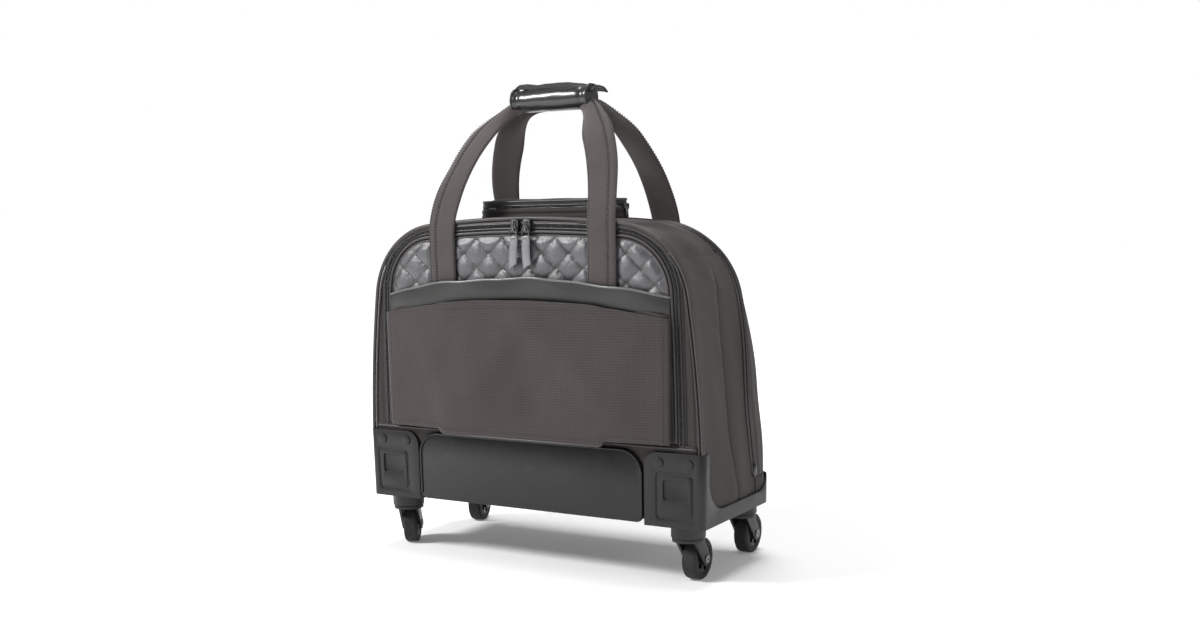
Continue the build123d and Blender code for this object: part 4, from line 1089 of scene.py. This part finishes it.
class CaseSleeve(CaseStep, bpy.types.Operator):
    """Hang the trolley sleeve over the slip pocket"""

    bl_idname = "laptop_case.sleeve"
    bl_label = "Hang the trolley sleeve"

    def execute(self, context):
        look = self.look(context)
        pitch, fold = look.stitch_pitch / MM, look.sleeve_fold / MM
        cols, rows = 190, 96
        c, t = np.linspace(-1, 1, cols)[None], np.linspace(0, 1, rows)[:, None]
        x = 178.2 * c + 0 * t
        top = 293.4 - 15.5 * np.abs(c) ** 2.2 - 1.2 * ease(np.abs(x[0]), 90, 112)[None]
        foot = 150.5 - 5.6 * (1 - ease(np.abs(x[0]), 99, 108))[None]
        z = foot + (top - foot) * t
        across = np.interp(np.abs(x), [0, 60, 104, 140, 170, 178.2], [18.2, 18.0, 16.6, 13.6, 11.2, 9.2])
        grid = np.stack([x, REAR - across, z], -1)
        span = np.sin(np.pi * t) ** 0.6 * (1 - np.abs(c) ** 8)
        long_fold = (0.9 * np.exp(-(((x + 40) - 0.9 * (z - 220)) / 26) ** 2)
                     + 0.8 * np.exp(-(((x - 62) + 1.1 * (z - 232)) / 22) ** 2)
                     - 0.9 * np.exp(-(((x - 10) + 0.35 * (z - 200)) / 30) ** 2)
                     + 0.7 * np.exp(-(((x + 118) + 0.4 * (z - 230)) / 20) ** 2)
                     + 0.6 * np.exp(-(((x - 130) - 0.3 * (z - 210)) / 17) ** 2))
        grid[..., 1] -= fold * span * (0.75 * long_fold + 0.55 * ripple(grid * (1, 1, 0.8), 120, 41)
                                       + 0.16 * ripple(grid, 42, 43))
        # the hem of the mouth stands up a little, and the foot curls over the plate
        hem = (1 - ease(np.abs(x), 92, 99)) * ease(z, top - 9.5, top - 8.5)
        grid[..., 1] -= 0.75 * hem
        grid[..., 1] += 0.8 * np.exp(-((z - foot) / 3.0) ** 2)
        piece = Heap().slab(grid, -2.0).make("sleeve_panel", "sleeve_fabric", "rear_door",
                                            ["trolley_sleeve"], "body_fabric")
        sewing = Heap()
        wide = np.abs(x[0]) < 96
        for down, amount in ((1.6, 0.75), (7.6, 0.65)):
            level = rows - 1 - int(round(down / (146.0 / rows)))
            sewing.stitches(grid[level, wide] + (0, -0.3, 0), (0, -1, 0), pitch, amount)
        beyond = grid[rows - 3]
        for part in (beyond[x[0] < -96], beyond[x[0] > 96]):
            sewing.stitches(part + (0, -0.3, 0), (0, -1, 0), pitch, 0.6)
        for col in (3, -4):
            sewing.stitches(grid[:, col] + (0, -0.3, 0), (0, -1, 0), pitch, 0.6)
        sewing.stitches(grid[4] + (0, -0.3, 0), (0, -1, 0), pitch, 0.6)
        sewing.make("sleeve_stitching", "thread", "rear_door")
        bind = Heap()
        lip = grid[0][np.abs(x[0]) < 106]
        bind.tube(lip + (0, 0.8, 0.3), 1.3, (0, -1, 0.01), 8)
        bind.make("sleeve_foot_binding", "piping", "rear_door")
        return {"FINISHED"}


# ---------------------------------------------------------------- carrying straps
def strap_section(width, thick, curl, count=20):
    """Folded strap from outer edge to inner edge, with a stitched-down channel near its outer edge."""
    w = np.linspace(-1, 1, count)
    half = width[:, None] / 2
    across = half * w[None]
    rim = (1 - np.abs(w) ** 7) ** 0.5
    groove = 0.7 * np.exp(-(((w - 0.44) / 0.08) ** 2)) + 0.4 * np.exp(-(((w - 0.9) / 0.05) ** 2))
    front = thick / 2 * (0.25 + 0.75 * rim) - groove
    back = -thick / 2 * (0.25 + 0.75 * rim)
    bend = -curl[:, None] * (w[None] ** 2)
    upper = np.stack([across, bend + front[None]], -1)
    lower = np.stack([across[:, ::-1], (bend + back[None])[:, ::-1]], -1)
    return np.concatenate([upper, lower], 1)


class CaseStraps(CaseStep, bpy.types.Operator):
    """Sew both carrying straps and wrap the leather grip round them"""

    bl_idname = "laptop_case.straps"
    bl_label = "Sew the straps"

    def execute(self, context):
        pitch = self.look(context).stitch_pitch / MM
        rear_leg = [(100.0, -4.3, 284), (100.0, -4.3, 320), (100.2, -4.3, 350), (99.5, -3.4, 372),
                    (97.0, 3.5, 396), (91.5, 12.5, 420), (82.5, 25, 445), (70, 40, 468), (57, 55, 486),
                    (45, 65, 496.5), (30, 69.5, 500), (12, 70, 500), (0, 70, 500)]
        self.strap("rear_strap_loop", rear_leg, -1, ("rear_door", "rear_strap"), 358, 374,
                   ["rear_strap", "rear_strap_bases"], pitch, 460)
        base = [(101.0, float(face_depth(z)) + 2.0, z) for z in (258, 285, 312, 334)]
        front_leg = [*base, (101.2, 136.6, 350), (101.5, 133.0, 374), (99.5, 122, 401), (92.5, 110, 428),
                     (80, 101, 455), (65, 94.5, 478), (50, 90, 493), (34, 88.4, 499.5), (14, 88, 501),
                     (0, 88, 501)]
        self.strap("front_strap_loop", front_leg, 1, ("front_door", "front_strap"), 337, 353,
                   ["front_strap", "front_strap_bases"], pitch, 455)
        self.wrap()
        self.flap(pitch)
        return {"FINISHED"}

    def strap(self, name, leg, facing, bodies, low, high, nodes, pitch, narrow_z):
        half = smooth_line(leg, 130)
        path = np.concatenate([half, half[-2::-1] * (-1, 1, 1)]) + (0, REAR, 0)
        path[:, 0] += 1.2 * np.sin(path[:, 2] / 21.0) * ease(path[:, 2], 380, 430)
        lean = ease(path[:, 2], high + 6, high + 60)
        out = np.stack([0 * lean, facing * (1 - 0.42 * lean), 0.62 * lean], 1)
        fold = ease(path[:, 2], narrow_z, 498)
        width = 34.0 * (1 - 0.42 * fold)
        curl = 1.0 * ease(path[:, 2], high, high + 60) + 5.0 * fold
        section = strap_section(width, 2.7, curl)
        if facing > 0:
            section = section * (-1, 1)
        heap = Heap().sweep(path, out, section)
        piece = heap.make(name, "strap_fabric", None, (), "strap_fabric", 1)
        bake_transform(piece)
        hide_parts(*nodes)
        along = unit(np.gradient(path, axis=0))
        across = unit(np.cross(along, out)) * (-1 if facing > 0 else 1)
        outs = unit(np.cross(across, along)) * (-1 if facing > 0 else 1)
        sewing = Heap()
        for place in (0.40, 0.50, -0.9, 0.93):
            run = path + across * (place * width / 2)[:, None] + outs * (1.32 - curl * place**2)[:, None]
            keep = np.abs(run[:, 0]) > 50
            for part in (keep & (run[:, 0] > 0), keep & (run[:, 0] < 0)):
                rows = np.where(part)[0]
                count = int(np.linalg.norm(np.diff(run[rows], axis=0), axis=1).sum() / pitch)
                places = resample(run[rows], count)
                aim = unit(np.gradient(places, axis=0))
                tilt = resample(run[rows], count, across[rows]) * (0.35 * (-1) ** np.arange(count))[:, None]
                if abs(place) > 0.6:
                    tilt = tilt * 0
                facing_out = resample(run[rows], count, outs[rows])
                sewing.bits(places, aim + tilt, facing_out, (pitch * 0.74, 1.1, 0.9))
        thread = sewing.make(f"{name}_stitching", "thread")
        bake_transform(thread)

    def wrap(self):
        """Patent leather rolled round the straps, with bound ends."""
        x = np.concatenate([[-48, -47.6], np.linspace(-46.6, 46.6, 70), [47.6, 48]])
        turn = np.linspace(0, 2 * math.pi, 56, endpoint=False)
        path = np.stack([x, 0 * x + GRIP_Y, 0 * x + GRIP_Z], 1)
        ring = np.stack([np.cos(turn), np.sin(turn)], 1)
        spots = np.stack([np.broadcast_to(x[:, None], (len(x), 56)),
                          9 * np.broadcast_to(np.cos(turn), (len(x), 56)),
                          9 * np.broadcast_to(np.sin(turn), (len(x), 56))], -1)
        radius = 12.2 + 0.3 * ripple(spots * (0.4, 1, 1), 24, 51) + 0.12 * ripple(spots * (0.4, 1, 1), 9, 52)
        radius -= 1.0 * np.exp(-(((np.abs(x) - 40) / 3.0) ** 2))[:, None]
        radius *= np.where(np.abs(x) > 47.8, 0.9, 1.0)[:, None]
        section = ring[None] * radius[..., None] * (1.0, 1.02)
        piece = Heap().sweep(path, (0, -1, 0), section).make(
            "grip_wrap", "patent_leather", "rear_strap", ["handle_wrap"], "patent_leather", 1)
        binding = Heap()
        for end in (-46.8, 46.8):
            loop = np.stack([end + 0 * turn, GRIP_Y + 12.5 * np.cos(turn), GRIP_Z + 12.6 * np.sin(turn)], 1)
            binding.tube(loop, 1.25, (1, 0, 0), 10, True)
        binding.make("grip_wrap_binding", "trim_leather", "rear_strap")
        return piece

    def flap(self, pitch):
        """Leather flap that snaps over both straps, lifted and curled at one corner."""
        s, c = np.linspace(0, 1, 30)[:, None], np.linspace(-1, 1, 60)[None]
        d = np.interp(s, [0, 0.25, 0.5, 0.75, 1], [63.5, 71, 81, 92, 101.5])
        z = np.interp(s, [0, 0.25, 0.5, 0.75, 1], [511.2, 515.4, 517.4, 516.2, 511.4])
        x = 4.0 + 48.5 * c * (1 - 0.05 * s)
        curl = 2.4 * ease(-c, 0.62, 1.0) * (1 - 0.7 * s) - 6.0 * ease(c, 0.3, 1.15)
        grid = np.stack([x + 0 * s, REAR + d + 0 * c, z + curl], -1)
        grid[..., 2] += 0.8 * ripple(grid, 34, 61) + 0.35 * ripple(grid, 13, 62)
        piece = Heap().slab(grid, -2.0).make("grip_flap", "flap_leather", "wrap_flap",
                                            ["wrap_flap"], "patent_leather", 1)
        sewing = Heap()
        inset = (grid[2, 2:-2], grid[-3, 2:-2], grid[2:-2, 3], grid[2:-2, -4])
        for run in inset:
            sewing.stitches(run + (0, 0, 0.2), (0, 0, 1), pitch, 0.6)
        sewing.make("grip_flap_stitching", "thread", "wrap_flap")
        spot = grid[20, 50]
        rise = np.linspace(0, math.pi / 2, 7)
        turn = np.linspace(0, 2 * math.pi, 22)
        dome = np.stack([spot[0] + 4.2 * np.cos(rise)[:, None] * np.cos(turn)[None],
                         spot[1] + 4.2 * np.cos(rise)[:, None] * np.sin(turn)[None],
                         spot[2] + 0.2 + 1.6 * np.sin(rise)[:, None] + 0 * turn[None]], -1)
        Heap().surface(dome).make("grip_flap_snap", "slider_metal", "wrap_flap", weld=0.001)
        return piece


# ---------------------------------------------------------------- handle lid
class CaseLid(CaseStep, bpy.types.Operator):
    """Make the soft zipped lid over the pull-up handle, and the collar round its well"""

    bl_idname = "laptop_case.lid"
    bl_label = "Make the handle lid"

    def execute(self, context):
        pitch = self.look(context).stitch_pitch / MM
        half_x, half_y = 88.0, (HIGH["handle_lid"][1] - LOW["handle_lid"][1]) / 2
        count = 150
        straight = half_x - half_y

        def ring(inset, z):
            r = half_y - inset
            raw = np.concatenate([np.stack([straight + r * np.cos(a), r * np.sin(a)], 1)
                                  for a in [np.linspace(-math.pi / 2, math.pi / 2, 40)]]
                                 + [np.stack([-straight + r * np.cos(a), r * np.sin(a)], 1)
                                    for a in [np.linspace(math.pi / 2, 1.5 * math.pi, 40)]])
            loop = resample(np.concatenate([raw, raw[:1]]), count + 1)[:-1]
            return np.stack([loop[:, 0], WELL_MIDDLE + loop[:, 1], z + 0 * loop[:, 0]], 1)

        profile = [(12, 388.8), (1.2, 388.9), (0.1, 390.0), (-0.3, 392), (0.5, 394.2), (2.2, 395.3),
                   (4.0, 395.2), (5.2, 394.6), (6.4, 395.3), (9, 396.4), (13, 397.0), (17, 397.2),
                   (20.5, 397.2)]
        loops = np.array([ring(i, z) for i, z in profile])
        loops[..., 2] += 0.55 * ripple(loops, 55, 71) * (np.arange(len(profile)) > 3)[:, None]
        heap = Heap().surface(np.concatenate([loops, loops[:, :1]], 1))
        heap.put(loops[0], [list(range(count))])
        lid = heap.make("soft_lid", "lid_fabric", "handle_lid", ["handle_lid"], "lid_fabric", 1, 0.01)
        trim = Heap()
        trim.tube(ring(1.0, 394.4), 1.6, (0, 0, 1), 10, True)
        edge = trim.make("soft_lid_piping", "piping", "handle_lid")
        sewn = ring(5.2, 395.1)
        thread = Heap().stitches(np.concatenate([sewn, sewn[:1]]), (0, 0, 1), pitch, 0.6)
        sewing = thread.make("soft_lid_stitching", "thread", "handle_lid")
        for piece in (lid, edge, sewing):
            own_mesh(piece)

        collar = [(-0.5, 372.0), (-1.9, 374.5), (-2.3, 378), (-1.5, 380.6), (-0.9, 381.4), (-1.6, 382.4),
                  (-1.9, 384.5), (-1.0, 386.4), (0.3, 387.2)]
        loops = np.array([ring(i, z) for i, z in collar])
        loops[..., 2] += 0.3 * ripple(loops, 40, 73)
        Heap().surface(np.concatenate([loops, loops[:, :1]], 1)).make(
            "well_collar", "lid_fabric", "root", (), "lid_fabric", 1, 0.01)
        zipper = Heap()
        path = ring(0.2, 387.9)
        centre = np.array([0, WELL_MIDDLE, 388.0])
        out = unit((path - centre) * (0.25, 1, 0))
        coil_zip(zipper, np.concatenate([path, path[:1]]), np.concatenate([out, out[:1]]), (0, 0, 1))
        zipper.make("lid_zip_coil", "zip_coil", "root", (), "zip_coil")
        return {"FINISHED"}


# ---------------------------------------------------------------- front door
class CaseFrontDoor(CaseStep, bpy.types.Operator):
    """Make the front door: padded shell, piping and zipped outer pocket"""

    bl_idname = "laptop_case.front_door"
    bl_label = "Make the front door"

    def execute(self, context):
        pitch = self.look(context).stitch_pitch / MM
        self.shell()
        self.pocket(pitch)
        return {"FINISHED"}

    def shell(self):
        line = BODY.line(-0.2, FRONT_FOOT, 301)
        corner_r, inset = 30.0, 0.6
        flat = panel_points(line, 150, 160, None, True)
        gap = edge_gap(flat, line)
        inside = np.clip(gap, 0, corner_r)
        drop = corner_r - np.sqrt(np.maximum(corner_r**2 - (corner_r - inside) ** 2, 0))
        x, z = flat[..., 0], flat[..., 1]
        bulge = 3.0 * ease(gap, 10, 80) * ease(z, 105, 170)
        y = REAR + face_depth(z) - inset - drop + bulge - sag_in(flat)
        grid = np.stack([x, y, z], -1)
        grid[..., 1] += 1.2 * ease(gap, 6, 40) * ripple(grid, 90, 81)
        heap = Heap().surface(grid)
        # side wall from the zip line to where the front rounds over
        out = outward(line)
        depth = np.linspace(0, 1, 26)[None]
        start = seam_depth(line[:, 1]) + 0.8
        stop = face_depth(line[:, 1]) - inset - corner_r
        stop = stop - sag_in(line)
        stop = np.maximum(stop, start + 1.5)
        d = start[:, None] + (stop - start)[:, None] * depth
        wall = np.stack([line[:, :1] + 0 * depth, REAR + d, line[:, 1:] + 0 * depth], -1)
        puff = 1.3 * np.sin(np.pi * depth) - 1.5 * np.exp(-depth * 9)
        wall[..., 0] += out[:, :1] * puff
        wall[..., 2] += out[:, 1:] * puff
        heap.surface(wall)
        # closed foot
        foot_x = flat[0, :, 0]
        foot_y = np.stack([np.full(160, REAR + 131.0), grid[0, :, 1]], 0)
        foot = np.stack([np.broadcast_to(foot_x, (2, 160)), foot_y, np.full((2, 160), FRONT_FOOT)], -1)
        heap.surface(foot)
        piece = heap.make("front_door_shell", "body_fabric", "front_door", ["front_door"],
                          "body_fabric", 0, 0.6)
        thick = piece.modifiers.new("Padding", "SOLIDIFY")
        thick.thickness, thick.offset = 2.2 * MM, -1
        cord = Heap()
        front_line = BODY.line(0.6, FRONT_FOOT + 1, 300)
        cord.tube(upright(front_line, REAR + seam_depth(front_line[:, 1]) + 1.9), 1.6)
        ring = BODY.line(-15.0, FRONT_FOOT + 6, 220)
        ring_y = REAR + face_depth(ring[:, 1]) - 3.6
        ring_y = ring_y - sag_in(ring)
        cord.tube(upright(ring, ring_y), 1.7)
        cord.make("front_door_piping", "piping", "front_door")

    def pocket(self, pitch):
        """Soft outer pocket with a sloping zipped mouth."""
        low, high = LOW["front_pocket"], HIGH["front_pocket"]
        c, t = np.linspace(-1, 1, 120)[None], np.linspace(0, 1, 80)[:, None]
        x = (high[0] - 1) * np.sign(c) * np.abs(c) + 0 * t
        z = low[2] + 1 + (high[2] - 2 - low[2]) * t
        edge_x = 1 - np.abs(c) ** 10
        edge_z = (1 - np.abs(2 * t - 1) ** 12)
        rise = np.minimum(edge_x, edge_z) ** 0.45
        front = np.interp(z, [118, 128, 180, 236, 245], [176, 187.6, 187.8, 178, 167])
        back = face_depth(z) - 1.0
        y = REAR + back + (front - back) * rise
        grid = np.stack([x, y, z + 0 * x], -1)
        grid[..., 1] += 1.0 * rise * ripple(grid, 70, 91)
        piece = Heap().slab(grid, 1.8).make("front_pocket_panel", "sleeve_fabric", "front_door",
                                             ["front_pocket"], "body_fabric")
        row = int(80 * 0.9)
        line = grid[row, 10:-10] + (0, 0.6, 0)
        coil = Heap()
        coil_zip(coil, line, (0, 0.8, 0.6), (0, -0.6, 0.8))
        coil.make("front_pocket_coil", "zip_coil", "front_door", ["front_pocket_zip"], "zip_tape")
        sewing = Heap()
        for near in (row - 3, row + 3):
            sewing.stitches(grid[near, 8:-8] + (0, 0.3, 0.1), (0, 1, 0.3), pitch, 0.6)
        sewing.make("front_pocket_stitching", "thread", "front_door")
        cord = Heap()
        around = np.concatenate([grid[:, 0], grid[-1, 1:], grid[-2::-1, -1], grid[0, -2:0:-1]])
        around = resample(np.concatenate([around, around[:1]]), 260)[:-1] + (0, 1.2, 0)
        cord.tube(around, 1.6, (0, 1, 0), 8, True)
        cord.make("front_pocket_piping", "piping", "front_door")


# ---------------------------------------------------------------- hard parts
class CaseBase(CaseStep, bpy.types.Operator):
    """Finish the moulded rails, the kick plate and the rivets"""

    bl_idname = "laptop_case.base"
    bl_label = "Finish the base"

    def execute(self, context):
        refined("side_rail_left", "rail_plastic", 0.9)
        refined("side_rail_right", "rail_plastic", 0.9)
        refined("rail_rivets", "rail_plastic", 0.5)
        refined("kick_plate", "kick_plastic", 1.2)
        refined("caster_bushes", "bush_plastic", 0)
        self.plate_rim()
        return {"FINISHED"}

    def plate_rim(self):
        """Raised bead round the kick plate."""
        low, high = LOW["kick_plate"], HIGH["kick_plate"]
        r, inset = 26.0, 1.6
        turn = np.linspace(0, math.pi / 2, 16)
        corner = np.stack([high[0] - r + (r - inset) * np.cos(turn),
                           high[2] - r + (r - inset) * np.sin(turn)], 1)
        half = np.concatenate([[(high[0] - inset, low[2] + 6)], corner, [(0, high[2] - inset)]])
        line = resample(np.concatenate([half, half[::-1] * (-1, 1)]), 180)
        Heap().tube(upright(line, low[1] - 0.1), 1.35).make(
            "kick_plate_bead", "kick_plastic", "root", (), "kick_plastic")


class CaseCasters(CaseStep, bpy.types.Operator):
    """Finish the four swivel casters"""

    bl_idname = "laptop_case.casters"
    bl_label = "Finish the casters"

    def execute(self, context):
        for corner in ("rear_right", "front_right", "rear_left", "front_left"):
            refined(f"caster_fork_{corner}", "rail_plastic", 0.8)
            refined(f"wheel_hub_{corner}", "hub_plastic", 0.4)
            refined(f"tyre_{corner}", "tyre_rubber", 0)
            refined(f"axle_{corner}", "axle_steel", 0.25)
        return {"FINISHED"}


class CaseHandle(CaseStep, bpy.types.Operator):
    """Finish the pull-up handle and the lining round it"""

    bl_idname = "laptop_case.handle"
    bl_label = "Finish the handle"

    def execute(self, context):
        for part in ("outer", "middle", "inner"):
            refined(f"handle_{part}_tubes", "tube_aluminium", 0.3)
        refined("handle_grip", "handle_plastic", 1.0)
        refined("handle_button", "button_plastic", 0.4)
        refined("handle_well", "handle_plastic", 0.7)
        for node in ("divider_panel", "tube_cover"):
            refined(node, "lining", 0.8)
        return {"FINISHED"}


class CasePanel(bpy.types.Panel):
    """Lists the steps that make the case"""

    bl_idname = "VIEW3D_PT_laptop_case"
    bl_label = "Laptop case"
    bl_space_type, bl_region_type, bl_category = "VIEW_3D", "UI", "Case"

    def draw(self, context):
        look = context.scene.laptop_case_look
        for name in look.__annotations__:
            self.layout.prop(look, name)
        for step in STEPS:
            self.layout.operator(step.bl_idname)


STEPS = (CaseStudio, CaseShell, CaseZips, CaseRearDoor, CaseSleeve, CaseStraps, CaseLid,
         CaseFrontDoor, CaseBase, CaseCasters, CaseHandle)
CLASSES = (LaptopCaseLook, *STEPS, CasePanel)


def register():
    for item in CLASSES:
        bpy.utils.register_class(item)
    bpy.types.Scene.laptop_case_look = bpy.props.PointerProperty(type=LaptopCaseLook)


def unregister():
    del bpy.types.Scene.laptop_case_look
    for item in reversed(CLASSES):
        bpy.utils.unregister_class(item)


def main():
    register()
    bpy.ops.laptop_case.studio()
    bpy.ops.laptop_case.shell()
    bpy.ops.laptop_case.zips()
    bpy.ops.laptop_case.rear_door()
    bpy.ops.laptop_case.sleeve()
    bpy.ops.laptop_case.straps()
    bpy.ops.laptop_case.lid()
    bpy.ops.laptop_case.front_door()
    bpy.ops.laptop_case.base()
    bpy.ops.laptop_case.casters()
    bpy.ops.laptop_case.handle()


if __name__ == "__main__":
    main()
